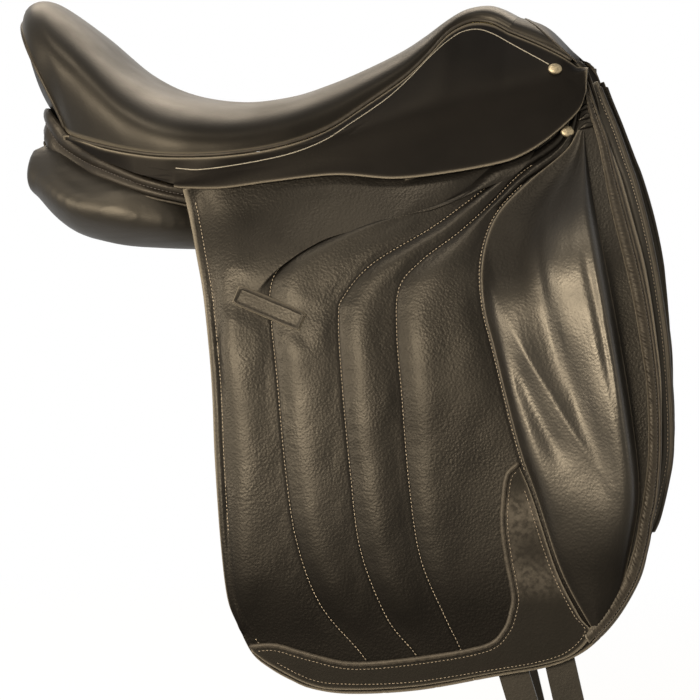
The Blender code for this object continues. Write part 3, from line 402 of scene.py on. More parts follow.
class Shape:
    """Points in millimetres, faces and marks, gathered before they become one piece. The marks of a point
    say how bare (rim) and how rubbed (worn) its leather is; painted_shade dims its shine as painted shade."""

    def __init__(self):
        self.points, self.faces, self.marks = [], [], []
        self.count = 0

    def add(self, points, faces, rim=0.0, worn=0.0, painted_shade=0.0):
        points = np.asarray(points, float).reshape(-1, 3)
        self.points.append(points)
        self.faces += [tuple(int(v) + self.count for v in face) for face in faces]
        marks = np.zeros((len(points), 3))
        marks[:, 0] = rim
        marks[:, 1] = worn
        marks[:, 2] = painted_shade
        self.marks.append(marks)
        self.count += len(points)
        return self

    def sheet(self, outer, inner, round_by=0.35, worn=0.0, flat_sides=(), painted_shade=0.0):
        """A closed leather sheet with a rounded edge between an outer and an inner grid."""
        nu, nv = outer.shape[:2]
        index = np.arange(nu * nv).reshape(nu, nv)
        quads = np.stack([index[:-1, :-1], index[1:, :-1], index[1:, 1:], index[:-1, 1:]], -1).reshape(-1, 4)
        up, down = np.arange(nu - 1), np.arange(nu - 1, 0, -1)
        right, left = np.arange(nv - 1), np.arange(nv - 1, 0, -1)
        i = np.concatenate([0 * right, up, 0 * right + nu - 1, down])
        j = np.concatenate([right, 0 * up + nv - 1, left, 0 * up])
        along_u, along_v = runs(outer, 0), runs(outer, 1)
        edge_out, edge_in = outer[i, j], inner[i, j]
        away = np.zeros_like(edge_out)
        reach = np.full((nu, nv), 1e9)
        for name, test, di, dj, distance in (
            ("i0", i == 0, 1, 0, along_u), ("i1", i == nu - 1, -1, 0, along_u[-1:] - along_u),
            ("j0", j == 0, 0, 1, along_v), ("j1", j == nv - 1, 0, -1, along_v[:, -1:] - along_v),
        ):
            if name in flat_sides:
                continue
            step = edge_out - outer[np.clip(i + di, 0, nu - 1), np.clip(j + dj, 0, nv - 1)]
            step /= np.linalg.norm(step, axis=1, keepdims=True) + 1e-9
            away += step * test[:, None]
            reach = np.minimum(reach, distance)
        away /= np.maximum(np.linalg.norm(away, axis=1, keepdims=True), 1.0)
        thick = np.linalg.norm(edge_out - edge_in, axis=1, keepdims=True)
        middle, half = (edge_out + edge_in) / 2, (edge_out - edge_in) / 2
        loops = [middle + half * math.cos(angle) + away * thick * round_by * math.sin(angle)
                 for angle in (0.25 * math.pi, 0.5 * math.pi, 0.75 * math.pi)]
        n, m = nu * nv, len(i)
        rings = [index[i, j], *(np.arange(m) + 2 * n + k * m for k in range(3)), index[i, j] + n]
        faces = [*quads, *(quads[:, ::-1] + n)]
        for first, second in zip(rings, rings[1:]):
            faces += zip(np.roll(first, -1), first, second, np.roll(second, -1))
        rim = np.exp(-reach / RIM_FADE).reshape(-1)
        worn, painted_shade = (np.broadcast_to(np.asarray(mark, float), (nu, nv)).reshape(-1) for mark in (worn, painted_shade))
        bare = np.zeros(3 * m)
        return self.add(np.concatenate([outer.reshape(-1, 3), inner.reshape(-1, 3), *loops]), faces,
                        np.concatenate([rim, rim * 0, bare + 1]), np.concatenate([worn, worn * 0, bare]),
                        np.concatenate([painted_shade, painted_shade, bare]))

    def tube(self, path, radius, around=10, flat=1.0, up=(0.0, 0.0, 1.0), rim=0.0, worn=0.0):
        """A round or flattened strand along a path, with its ends rounded off."""
        path = np.asarray(path, float)
        radius = np.broadcast_to(np.asarray(radius, float), (len(path),)).copy()
        tangent = np.gradient(path, axis=0)
        tangent /= np.linalg.norm(tangent, axis=1, keepdims=True) + 1e-9
        side = np.cross(tangent, np.array(up, float))
        side /= np.linalg.norm(side, axis=1, keepdims=True) + 1e-9
        top = np.cross(side, tangent)
        first = (path[0] - tangent[0] * radius[0] * 0.5, side[0], top[0], radius[0] * 0.55)
        last = (path[-1] + tangent[-1] * radius[-1] * 0.5, side[-1], top[-1], radius[-1] * 0.55)
        rows = [first, *zip(path, side, top, radius), last]
        angle = np.linspace(0, 2 * np.pi, around, endpoint=False)
        cos, sin = np.cos(angle)[:, None], np.sin(angle)[:, None]
        points = np.concatenate([p + r * (cos * s + flat * sin * t) for p, s, t, r in rows])
        return self.add(points, ring_faces(len(rows), around), rim, worn)

    def rings(self, rings, rim=0.0, worn=0.0):
        rings = np.asarray(rings, float)
        return self.add(rings, ring_faces(*rings.shape[:2]), rim, worn)


def ring_faces(count, around):
    faces = []
    for i in range(count - 1):
        for j in range(around):
            k = (j + 1) % around
            faces.append((i * around + j, i * around + k, (i + 1) * around + k, (i + 1) * around + j))
    faces.append(tuple(range(around))[::-1])
    faces.append(tuple((count - 1) * around + j for j in range(around)))
    return faces


def places(mesh):
    found = np.empty(len(mesh.vertices) * 3, np.float32)
    mesh.vertices.foreach_get("co", found)
    return found.reshape(-1, 3)


def applied(thing):
    """The object's mesh with its modifiers worked in, and none left."""
    bpy.context.view_layer.update()
    done = bpy.data.meshes.new_from_object(thing.evaluated_get(bpy.context.evaluated_depsgraph_get()))
    thing.modifiers.clear()
    thing.data = done
    return done


def stuff(thing, swell):
    """Blow up a stitched leather bag by a cloth simulation, held within a swell in millimetres."""
    skin = thing.modifiers.new("skin", "REMESH")
    skin.mode = "VOXEL"
    skin.voxel_size = VOXEL * MM
    flat = places(applied(thing))
    bag = thing.modifiers.new("bag", "CLOTH")
    bag.settings.quality = 4
    bag.settings.use_pressure = True
    bag.settings.uniform_pressure_force = 4.0
    bag.settings.effector_weights.gravity = 0
    bag.point_cache.frame_start, bag.point_cache.frame_end = 1, STUFFING_FRAMES
    for number in range(1, STUFFING_FRAMES + 1):
        bpy.context.scene.frame_set(number)
    full = applied(thing)
    move = places(full) - flat
    far = np.linalg.norm(move, axis=1, keepdims=True) + 1e-9
    move *= np.minimum(far, swell * MM) / far
    full.vertices.foreach_set("co", (flat + move).astype(np.float32).ravel())
    bpy.context.scene.frame_set(1)
    thing.modifiers.new("finer", "SUBSURF").levels = 1
    applied(thing).shade_smooth()


def piece(name, shape, finish, body, stands_for=(), sharp=0.9, swell=0.0):
    """The shape as one object that rides on a body and stands for CAD nodes."""
    mesh = bpy.data.meshes.new(name)
    points = np.concatenate(shape.points) * MM
    mesh.from_pydata(points.tolist(), [], shape.faces)
    marks = np.concatenate(shape.marks)
    for column, label in enumerate(("rim", "worn", "painted_shade")):
        layer = mesh.attributes.new(label, "FLOAT", "POINT")
        layer.data.foreach_set("value", marks[:, column].astype(np.float32))
    work = bmesh.new()
    work.from_mesh(mesh)
    bmesh.ops.recalc_face_normals(work, faces=work.faces)
    work.to_mesh(mesh)
    work.free()
    mesh.shade_smooth()
    mesh.set_sharp_from_angle(angle=sharp)
    mesh.materials.append(finish)
    thing = bpy.data.objects.new(name, mesh)
    bpy.context.scene.collection.objects.link(thing)
    if swell:
        stuff(thing, swell)
    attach(thing, body)
    if stands_for:
        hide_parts(*stands_for)
    return thing


# Materials


def srgb(code):
    """A hex colour as linear RGBA."""
    values = [int(code[k:k + 2], 16) / 255 for k in (1, 3, 5)]
    return tuple(v / 12.92 if v <= 0.04045 else ((v + 0.055) / 1.055) ** 2.4 for v in values) + (1.0,)


def add(tree, kind, inputs=None, **settings):
    """A node with its settings; an input takes a value or another node's socket."""
    node = tree.nodes.new(kind)
    for key, value in settings.items():
        setattr(node, key, value)
    for key, value in (inputs or {}).items():
        if isinstance(value, bpy.types.NodeSocket):
            tree.links.new(value, node.inputs[key])
        else:
            node.inputs[key].default_value = value
    return node


def shader_tree(name):
    made = bpy.data.materials.new(name)
    made.use_nodes = True
    tree = made.node_tree
    tree.nodes.clear()
    shader = add(tree, "ShaderNodeBsdfPrincipled")
    add(tree, "ShaderNodeOutputMaterial", {"Surface": shader.outputs[0]})
    return made, tree, shader


# Wax warms the shine of every leather
WAX = "#ffedd0"
BARE_EDGE = "#5b5346"
RUBBED = "#3d362c"


def leather(name, dark, light, roughness, grain, grain_height, wrinkle=0.25, worn=RUBBED, specular=0.22,
            sheen=0.0, shade_painted=False):
    """Drum-dyed cowhide, waxed: a pebbled grain in the bump, cloudy dye, a warm shine, and tan where an edge
    is bare or rubbed. With shade_painted, the mark painted_shade dims its shine there: painted shade."""
    made, tree, shader = shader_tree(name)
    where = add(tree, "ShaderNodeTexCoord").outputs["Object"]
    cloud = add(tree, "ShaderNodeTexNoise", {"Vector": where, "Scale": 1000 / 45, "Detail": 4.0})
    fine = add(tree, "ShaderNodeTexNoise", {"Vector": where, "Scale": 1000 / 4, "Detail": 3.0})
    tint = add(tree, "ShaderNodeMix", {0: cloud.outputs["Fac"], 6: srgb(dark), 7: srgb(light)},
               data_type="RGBA")
    rim = add(tree, "ShaderNodeAttribute", attribute_name="rim").outputs["Fac"]
    rim_soft = add(tree, "ShaderNodeMath", {0: rim, 1: 0.75}, operation="MULTIPLY").outputs[0]
    bare = add(tree, "ShaderNodeMix", {0: rim_soft, 6: tint.outputs[2], 7: srgb(BARE_EDGE)}, data_type="RGBA")
    rub = add(tree, "ShaderNodeAttribute", attribute_name="worn").outputs["Fac"]
    broken = add(tree, "ShaderNodeMapRange", {"Value": fine.outputs["Fac"], 1: 0.35, 2: 0.62, 3: 0.25, 4: 1.0})
    rub_fac = add(tree, "ShaderNodeMath", {0: rub, 1: broken.outputs[0]}, operation="MULTIPLY").outputs[0]
    colour = add(tree, "ShaderNodeMix", {0: rub_fac, 6: bare.outputs[2], 7: srgb(worn)}, data_type="RGBA")
    tree.links.new(colour.outputs[2], shader.inputs["Base Color"])
    gloss = add(tree, "ShaderNodeMapRange", {
        "Value": cloud.outputs["Fac"], 1: 0.3, 2: 0.7, 3: roughness - 0.05, 4: roughness + 0.07})
    rougher = add(tree, "ShaderNodeMath", {0: rub_fac, 1: 0.25, 2: gloss.outputs[0]}, operation="MULTIPLY_ADD")
    tree.links.new(rougher.outputs[0], shader.inputs["Roughness"])
    shader.inputs["Specular IOR Level"].default_value = specular
    shader.inputs["Specular Tint"].default_value = srgb(WAX)
    if shade_painted:
        # Painted shade: the shine drops where the painted_shade mark is set, so these parts read darker
        painted_shade = add(tree, "ShaderNodeAttribute", attribute_name="painted_shade").outputs["Fac"]
        shine = add(tree, "ShaderNodeMapRange", {"Value": painted_shade, 3: specular, 4: specular * 0.2})
        tree.links.new(shine.outputs[0], shader.inputs["Specular IOR Level"])
    if sheen:
        shader.inputs["Sheen Weight"].default_value = sheen
        shader.inputs["Sheen Roughness"].default_value = 0.5
        shader.inputs["Sheen Tint"].default_value = srgb("#b8a888")
    cells = add(tree, "ShaderNodeTexVoronoi", {"Vector": where, "Scale": 1000 / grain}, feature="SMOOTH_F1")
    folds = add(tree, "ShaderNodeTexNoise", {
        "Vector": where, "Scale": 1000 / 14, "Detail": 5.0, "Roughness": 0.6})
    creased = add(tree, "ShaderNodeBump", {
        "Height": folds.outputs["Fac"], "Distance": wrinkle * MM, "Strength": 1.0})
    pebbled = add(tree, "ShaderNodeBump", {
        "Height": cells.outputs["Distance"], "Distance": grain_height * MM, "Strength": 1.0,
        "Normal": creased.outputs["Normal"]})
    tree.links.new(pebbled.outputs["Normal"], shader.inputs["Normal"])
    return made


def cloth(name, dark, light, pitch, roughness=0.9):
    """Woven linen or latex foam: two crossing waves at the thread's or pore's pitch, drawn a little coarse
    to show, darker where both waves are low and in random blotches."""
    made, tree, shader = shader_tree(name)
    where = add(tree, "ShaderNodeTexCoord").outputs["Object"]
    scale = 1000 / pitch / 6.28
    warp = add(tree, "ShaderNodeTexWave", {"Vector": where, "Scale": scale}, bands_direction="X")
    weft = add(tree, "ShaderNodeTexWave", {"Vector": where, "Scale": scale}, bands_direction="Z")
    both = add(tree, "ShaderNodeMath", {0: warp.outputs["Fac"], 1: weft.outputs["Fac"]}, operation="MULTIPLY")
    dirt = add(tree, "ShaderNodeTexNoise", {"Vector": where, "Scale": 60.0, "Detail": 4.0})
    fac = add(tree, "ShaderNodeMath", {0: both.outputs[0], 1: dirt.outputs["Fac"]}, operation="MULTIPLY")
    tint = add(tree, "ShaderNodeMix", {0: fac.outputs[0], 6: srgb(dark), 7: srgb(light)}, data_type="RGBA")
    tree.links.new(tint.outputs[2], shader.inputs["Base Color"])
    bump = add(tree, "ShaderNodeBump", {"Height": both.outputs[0], "Distance": 0.4 * MM, "Strength": 1.0})
    tree.links.new(bump.outputs["Normal"], shader.inputs["Normal"])
    shader.inputs["Roughness"].default_value = roughness
    return made


def metal(name, dark, light, roughness, pits=3.0):
    """Steel or nickel plate: cloudy tarnish, with fine pits in the bump."""
    made, tree, shader = shader_tree(name)
    where = add(tree, "ShaderNodeTexCoord").outputs["Object"]
    cloud = add(tree, "ShaderNodeTexNoise", {"Vector": where, "Scale": 1000 / pits, "Detail": 5.0})
    tint = add(tree, "ShaderNodeMix", {0: cloud.outputs["Fac"], 6: srgb(dark), 7: srgb(light)},
               data_type="RGBA")
    tree.links.new(tint.outputs[2], shader.inputs["Base Color"])
    gloss = add(tree, "ShaderNodeMapRange", {
        "Value": cloud.outputs["Fac"], 3: roughness - 0.08, 4: roughness + 0.1})
    tree.links.new(gloss.outputs[0], shader.inputs["Roughness"])
    bump = add(tree, "ShaderNodeBump", {
        "Height": cloud.outputs["Fac"], "Distance": 0.15 * MM, "Strength": 0.8})
    tree.links.new(bump.outputs["Normal"], shader.inputs["Normal"])
    shader.inputs["Metallic"].default_value = 1.0
    return made


def beech(name):
    """Laminated beech: fine straight grain along the rails, darker glue lines between the plies."""
    made, tree, shader = shader_tree(name)
    where = add(tree, "ShaderNodeTexCoord").outputs["Object"]
    along = add(tree, "ShaderNodeMapping", {"Vector": where, "Scale": (60.0, 600.0, 600.0)})
    grain = add(tree, "ShaderNodeTexNoise", {"Vector": along.outputs[0], "Scale": 1.0, "Detail": 6.0})
    ply = add(tree, "ShaderNodeTexWave", {"Vector": where, "Scale": 110.0, "Distortion": 0.4},
              bands_direction="Z")
    tint = add(tree, "ShaderNodeMix", {0: grain.outputs["Fac"], 6: srgb("#9c7345"), 7: srgb("#c79e6b")},
               data_type="RGBA")
    glue = add(tree, "ShaderNodeMapRange", {"Value": ply.outputs["Fac"], 1: 0.0, 2: 0.15, 3: 0.5, 4: 0.0})
    colour = add(tree, "ShaderNodeMix", {0: glue.outputs[0], 6: tint.outputs[2], 7: srgb("#6a4826")},
                 data_type="RGBA")
    tree.links.new(colour.outputs[2], shader.inputs["Base Color"])
    shader.inputs["Roughness"].default_value = 0.55
    bump = add(tree, "ShaderNodeBump", {"Height": grain.outputs["Fac"], "Distance": 0.2 * MM, "Strength": 0.6})
    tree.links.new(bump.outputs["Normal"], shader.inputs["Normal"])
    return made


def thread(name, dark, light):
    """Waxed linen thread: a twist across each stitch."""
    made, tree, shader = shader_tree(name)
    where = add(tree, "ShaderNodeTexCoord").outputs["Object"]
    twist = add(tree, "ShaderNodeTexWave", {"Vector": where, "Scale": 420.0}, bands_direction="DIAGONAL")
    tint = add(tree, "ShaderNodeMix", {0: twist.outputs["Fac"], 6: srgb(dark), 7: srgb(light)},
               data_type="RGBA")
    tree.links.new(tint.outputs[2], shader.inputs["Base Color"])
    shader.inputs["Roughness"].default_value = 0.6
    return made


# Smooth calf on seat, facings and panel: hardly any grain
SEAT_HIDE = leather("seat_calf_leather", "#070605", "#0c0a08", 0.44, 2.0, 0.05, 0.1, specular=0.22,
                    sheen=0.04, shade_painted=True)
FACING_HIDE = leather("facing_calf_leather", "#070605", "#0c0a08", 0.52, 2.0, 0.04, 0.1, specular=0.14)
PANEL_HIDE = leather("panel_calf_leather", "#080706", "#0e0c09", 0.48, 2.0, 0.05, 0.1, specular=0.36)
# Plated leather on the skirt: the smoothest and least shiny
SKIRT_HIDE = leather("skirt_smooth_leather", "#070605", "#0b0908", 0.42, 1.8, 0.04, 0.08, specular=0.06)
# Pebbled leather, its grain about 2 mm wide; on the flap and knee block painted shade dims the shine in places
FLAP_HIDE = leather("flap_pebbled_leather", "#070605", "#0c0a08", 0.4, 1.9, 0.2, 0.12, specular=0.21,
                    shade_painted=True)
BLOCK_HIDE = leather("block_pebbled_leather", "#070605", "#0c0a08", 0.41, 2.1, 0.18, 0.14, specular=0.46,
                     shade_painted=True)
# Trim: rolls, welts, billets, and a patch that has worn brown
TRIM_HIDE = leather("trim_leather", "#0c0a08", "#15110d", 0.44, 1.6, 0.12, 0.3, specular=0.24)
PATCH_HIDE = leather("patch_leather", "#080706", "#0e0c09", 0.48, 1.8, 0.08, 0.15, worn="#4d463c",
                     specular=0.08)
BILLET_HIDE = leather("billet_bridle_leather", "#0b0a08", "#15120e", 0.45, 1.8, 0.08, 0.3)
WELT_HIDE = leather("welt_leather", "#0f0d0b", "#1c1915", 0.44, 1.6, 0.05, 0.2)
# A pale strand along the skirt's crease: a painted highlight, the light that its edge catches
CREASE_HIGHLIGHT_HIDE = leather("crease_painted_highlight", "#5c564b", "#7d7566", 0.45, 1.6, 0.02, 0.1)
DARK_THREAD = thread("thread_dark", "#1b1610", "#3a3025")
SEAM_THREAD = thread("thread_waxed", "#54493a", "#85755d")
PALE_THREAD = thread("thread_worn", "#4b3f30", "#75664f")
NICKEL = metal("worn_nickel", "#5e5342", "#a89879", 0.5, 1.8)
FORGED = metal("forged_steel_satin", "#7c7c7e", "#a3a3a5", 0.34)
SPRING = metal("spring_steel_oiled", "#4a4a4e", "#6c6c72", 0.4)
WEB = cloth("linen_web", "#7c7157", "#b5a888", 1.6)
FOAM_HIDE = cloth("latex_foam", "#a08a52", "#cdb984", 2.4, 0.95)
BEECH = beech("laminated_beech")


# Stitching


def stitch_tree():
    """Stitches laid along a seam line at a set pitch, as Geometry Nodes: each is a bead of 24 faces."""
    tree = bpy.data.node_groups.new("seam_stitches", "GeometryNodeTree")
    tree.interface.new_socket("Seam", in_out="INPUT", socket_type="NodeSocketGeometry")
    for label, value in (("Pitch", STITCH_PITCH), ("Stitch Length", STITCH_LENGTH), ("Thread", THREAD)):
        socket = tree.interface.new_socket(label, in_out="INPUT", socket_type="NodeSocketFloat")
        socket.default_value = value * MM
    tree.interface.new_socket("Thread Material", in_out="INPUT", socket_type="NodeSocketMaterial")
    tree.interface.new_socket("Stitches", in_out="OUTPUT", socket_type="NodeSocketGeometry")
    given = add(tree, "NodeGroupInput").outputs
    line = add(tree, "GeometryNodeMeshToCurve", {"Mesh": given["Seam"]})
    spots = add(tree, "GeometryNodeCurveToPoints", {"Curve": line.outputs[0], "Length": given["Pitch"]},
                mode="LENGTH")
    bead = add(tree, "GeometryNodeMeshUVSphere", {"Segments": 6, "Rings": 4, "Radius": 0.5})
    size = add(tree, "ShaderNodeCombineXYZ", {
        "X": given["Thread"], "Y": given["Thread"], "Z": given["Stitch Length"]})
    laid = add(tree, "GeometryNodeInstanceOnPoints", {
        "Points": spots.outputs["Points"], "Instance": bead.outputs["Mesh"],
        "Rotation": spots.outputs["Rotation"], "Scale": size.outputs[0]})
    real = add(tree, "GeometryNodeRealizeInstances", {"Geometry": laid.outputs[0]})
    smooth = add(tree, "GeometryNodeSetShadeSmooth", {"Geometry": real.outputs[0]})
    dressed = add(tree, "GeometryNodeSetMaterial", {
        "Geometry": smooth.outputs[0], "Material": given["Thread Material"]})
    add(tree, "NodeGroupOutput", {"Stitches": dressed.outputs[0]})
    return tree


STITCHES = stitch_tree()


def stitch(name, lines, finish, body, pitch=STITCH_PITCH, length=STITCH_LENGTH, thick=THREAD):
    """One piece of stitching along one or more seam lines, each an array of points."""
    mesh = bpy.data.meshes.new(name)
    points, edges = [], []
    for line in lines:
        start = len(points)
        points += (np.asarray(line) * MM).tolist()
        edges += [(start + k, start + k + 1) for k in range(len(line) - 1)]
    mesh.from_pydata(points, edges, [])
    seam = bpy.data.objects.new(name, mesh)
    bpy.context.scene.collection.objects.link(seam)
    sewing = seam.modifiers.new("stitches", "NODES")
    sewing.node_group = STITCHES
    chosen = {
        "Pitch": pitch * MM, "Stitch Length": length * MM, "Thread": thick * MM, "Thread Material": finish}
    for item in STITCHES.interface.items_tree:
        if item.in_out == "INPUT" and item.name in chosen:
            sewing[item.identifier] = chosen[item.name]
    applied(seam)
    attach(seam, body)
    return seam


# Seat and facings


# Below 1, the seat's crown is fuller than an ellipse
CROWN = 0.85
MIDDLE_OF_SEAT = (140, 0, 120)


def seat_grid(count, angles, rows=SEAT, bulge=SEAT_BULGE):
    """Cross curves of the seat from the right edge over the top to the left edge."""
    rows = curve(rows, count)
    bulge_x = [b[0] for b in bulge][::-1]
    bulge_y = [b[1] for b in bulge][::-1]
    s, c = np.sin(angles)[None], np.cos(angles)[None]
    xc, zc, xe, ye, ze = (rows[:, k:k + 1] for k in range(5))
    extra = np.interp(xc, bulge_x, bulge_y)
    x = xc + (xe - xc) * (1 - c)
    y = np.sign(s) * (ye * np.abs(s) ** CROWN + extra * np.abs(np.sin(2 * angles))[None])
    z = ze + (zc - ze) * np.maximum(c, 0) ** CROWN
    return np.stack([x, y, z], axis=-1)


def seat_angles(count):
    return np.linspace(-np.pi / 2, np.pi / 2, count)


def inset(grid, depth):
    n = normals(grid)
    if n[n.shape[0] // 2, n.shape[1] // 2, 2] < 0:
        n = -n
    return grid - n * depth


def welt_path(count):
    front = [(row[2], row[3], row[4]) for row in FACING[:FACING_PIPED]][::-1]
    rear = [(row[2], row[3], row[4]) for row in SEAT[:-2]]
    return curve(front + rear, count)


def make_seat():
    angles = seat_angles(121)
    cover = seat_grid(170, angles)
    cantle_edge = cover[-1]
    dimple = rough(cover[..., 0], cover[..., 1], cover[..., 2], seed=3, size=90) * 0.35
    cover = inset(cover, -dimple[..., None])
    # Painted shade: the shine is dimmed on the flanks of the waist, so that they read darker
    painted_shade = 0.7 * ramp(np.abs(angles), 0.35, 0.7)[None] * ramp(cover[..., 0], -150, -110)
    painted_shade = painted_shade * (1 - ramp(cover[..., 0], 90, 120))
    shape = Shape().sheet(cover, inset(cover, SEAT_LEATHER), 0.2, flat_sides=("i0",), painted_shade=painted_shade)
    seat = piece("seat_cover_pad", shape, SEAT_HIDE, "saddle", ("seat_cover",))
    angles = seat_angles(61)
    plain = seat_grid(80, angles)[3:-3, 3:-3]
    thick = 3.0 + 12.0 * np.cos(angles[3:-3])[None, :, None]
    shape = Shape().sheet(inset(plain, 3.4), inset(plain, 3.3 + thick), 0.2)
    foam = piece("seat_foam_pad", shape, FOAM_HIDE, "saddle", ("seat_foam",))
    make_pommel_facing()
    make_cantle_facing()
    welt = Shape().tube(cantle_edge + np.array([0.2, 0, -0.4]), 1.5, up=(1, 0, 0), worn=0.3)
    piece("cantle_welt", welt, WELT_HIDE, "saddle")


def make_pommel_facing():
    facing = seat_grid(46, seat_angles(71), FACING, ((152, 2), (187, 2)))
    away = outward(facing, MIDDLE_OF_SEAT)
    shape = Shape().sheet(facing, facing - away * SEAT_LEATHER, 0.3, flat_sides=("i0",))
    piece("pommel_facing_leather", shape, FACING_HIDE, "saddle", ("pommel_facing",))
    down = 3 + 23 * np.abs(np.linspace(-1, 1, 71)) ** 1.6
    seam = [[np.interp(at, np.arange(46), facing[:, k, c]) for c in range(3)] for k, at in enumerate(down)]
    seam = np.array(seam) + blur(away[12], 3.0) * 0.2
    shape = Shape().tube(seam, 0.8, 8, up=(1, 0, 0), worn=0.3)
    piece("pommel_seam_welt", shape, WELT_HIDE, "saddle")


def make_cantle_facing():
    """The back of the cantle: its middle follows CANTLE_BACK, its sides the seat's last cross curve."""
    middle_x, middle_z, edge_x, edge_y, edge_z = curve(SEAT, 30)[-1]
    rows = np.linspace(0.3, 1.0, 30)
    across = np.linspace(-1, 1, 61)
    angle = rows[:, None] * np.pi / 2
    half = (edge_y * np.sin(angle) ** CROWN + 15 * np.sin(2 * angle)) - 6.5
    z = edge_z + (middle_z - edge_z) * np.cos(angle) ** CROWN - 2.0 * rows[:, None] + 0 * across
    side_x = middle_x + (edge_x - middle_x) * (1 - np.cos(angle)) + 1.0
    back_x = np.interp(z, [p[0] for p in CANTLE_BACK][::-1], [p[1] for p in CANTLE_BACK][::-1])
    puff = 1.5 * (1 - across**2) * np.sin(np.linspace(0.05, 3.09, 30))[:, None]
    x = blur(back_x + (side_x - back_x) * across**2 - puff, 2.0)
    back = np.stack([x, half * across, z], axis=-1)
    shape = Shape().sheet(back, back + np.array([SEAT_LEATHER, 0, 0]), 0.3)
    piece("cantle_facing_leather", shape, FACING_HIDE, "saddle", ("cantle_facing",))


def make_welts():
    path = welt_path(300)
    for side_name, side in SIDES:
        line = path * np.array([1, side, 1]) + np.array([0, side * 2.2, -1.2])
        piece("seat_piping_" + side_name, Shape().tube(line[4:-2], 1.4, 12, worn=0.25), WELT_HIDE, "saddle",
              ("seat_welt_" + side_name,))


# Skirts


def skirt_lines(x):
    """For stations along the skirt: the upper edge, the fold line and the lower edge as y, z."""
    path = welt_path(240)
    order = np.argsort(path[:, 0])
    tuck = 1.8 * (1 - ramp(path[order, 0], -222, -190))
    px, py, pz = path[order, 0], path[order, 1] + 5.4 - tuck, path[order, 2] - 3.9 + tuck
    top_y, top_z = np.interp(x, px, py), np.interp(x, px, pz)
    tail_x = [p[0] for p in SKIRT_TAIL]
    tail_y = np.interp(x, tail_x, [p[1] for p in SKIRT_TAIL_Y])
    tail_z = np.interp(x, tail_x, [p[1] for p in SKIRT_TAIL])
    behind = x < FOLD_REAR[0]
    mid_y = np.where(behind, tail_y, fold_y(x))
    mid_z = np.where(behind, tail_z, fold_z(x))
    edge = curve(SKIRT_LOW, 300)
    low_z = np.interp(x, edge[:, 0], edge[:, 1])
    return top_y, top_z, mid_y, np.minimum(mid_z, top_z - 3), np.minimum(low_z, fold_z(x) - 2)


def skirt_y(x, z):
    """Half width of the skirt's outer face at x, z, smoothed across the fold line."""
    top_y, top_z, mid_y, mid_z, low_z = skirt_lines(x)
    behind = x < FOLD_REAR[0]
    kept = np.where(behind, 1 - ramp(FOLD_REAR[0] - x, 0, 30), 1.0)

    def plain(height):
        r = np.clip((height - mid_z) / (top_z - mid_z), 0, 1)
        above = mid_y + (top_y - mid_y) * r**1.25
        lift = SKIRT_LIFT_TOP + (SKIRT_LIFT_LOW - SKIRT_LIFT_TOP) * ramp(mid_z - height, 0, 45)
        below = side_y(x, height) + lift
        return np.where(height >= mid_z, above, mid_y + (below - mid_y) * kept)

    width = np.clip(np.minimum(top_z - z, z - np.where(behind, mid_z - 2 * kept, low_z)), 0, 14)
    steps = np.linspace(-1, 1, 9)
    weight = 1 - np.abs(steps) * 0.8
    return sum(w * plain(z + width * s) for s, w in zip(steps, weight)) / weight.sum()


def make_skirts():
    fixed_x = np.linspace(-234, 211, 222)
    moving_x = np.concatenate([np.linspace(-130.5, 190, 160), np.linspace(191, 211, 24)])
    rows = np.linspace(0, 1, 34)
    for side_name, side in SIDES:
        for body, label, x, name, flat in (
            ("saddle", "skirt_upper_", fixed_x, "skirt_top_", ("j0",)),
            ("skirt_" + side_name, "skirt_lower_", moving_x, "skirt_", ("j0", "i0")),
        ):
            _, top_z, _, mid_z, low_z = skirt_lines(x)
            end = top_z if body == "saddle" else low_z
            z = mid_z[:, None] + (end - mid_z)[:, None] * rows[None]
            xx = np.broadcast_to(x[:, None], z.shape)
            y = np.stack([skirt_y(x, z[:, k]) for k in range(z.shape[1])], axis=1)
            outer = np.stack([xx, side * y, z], axis=-1)
            inner = outer - np.array([0, side * SKIRT_LEATHER, 0])
            shape = Shape().sheet(outer, inner, 0.3, flat_sides=flat)
            piece(label + side_name, shape, SKIRT_HIDE, body, (name + side_name,))
        # Painted highlight: the crease is drawn as a thin pale strand
        line = curve(SKIRT_CREASE, 420)
        y = skirt_y(line[:, 0], line[:, 1])
        crease = np.stack([line[:, 0], side * (y + 0.03), line[:, 1]], axis=-1)
        shape = Shape().tube(crease, 0.42, 8)
        piece("skirt_crease_" + side_name, shape, CREASE_HIGHLIGHT_HIDE, "saddle")


# Flaps


def flap_top(x):
    dip = ramp(x, RECESS[0] - 14, RECESS[0]) * (1 - ramp(x, RECESS[1], RECESS[1] + 14))
    return fold_z(x) - FLAP_TOP - (RECESS_DEPTH - FLAP_TOP) * dip


def quilting(x, z):
    """How far the leather between the grooves may swell: less under the skirt, the patch and the strip."""
    skirt_edge = np.interp(x, [p[0] for p in SKIRT_LOW], [p[1] for p in SKIRT_LOW])
    below_skirt = 0.25 + 0.75 * ramp(skirt_edge - z, -16, 16)
    above_patch = ramp(z, -322, -262)
    beside_patch = 1 - ramp(x, 60, 150) * (1 - ramp(z, -190, -90))
    a, b = np.array(STRIP_CORNERS[0], float), np.array(STRIP_CORNERS[1], float)
    along = (b - a) / np.linalg.norm(b - a)
    cx, cz = np.mean(np.array(STRIP_CORNERS, float), axis=0)
    u = (x - cx) * along[0] + (z - cz) * along[1]
    v = -(x - cx) * along[1] + (z - cz) * along[0]
    strip = np.maximum(ramp(np.abs(u), 32, 50), ramp(np.abs(v), 8, 22))
    return below_skirt * above_patch * beside_patch * (0.7 + 0.3 * strip)


def flap_lines(rows):
    return [curve(FLAP_REAR, rows)] + [curve(c, rows) for c in CHANNELS] + [curve(FLAP_FRONT, rows)]


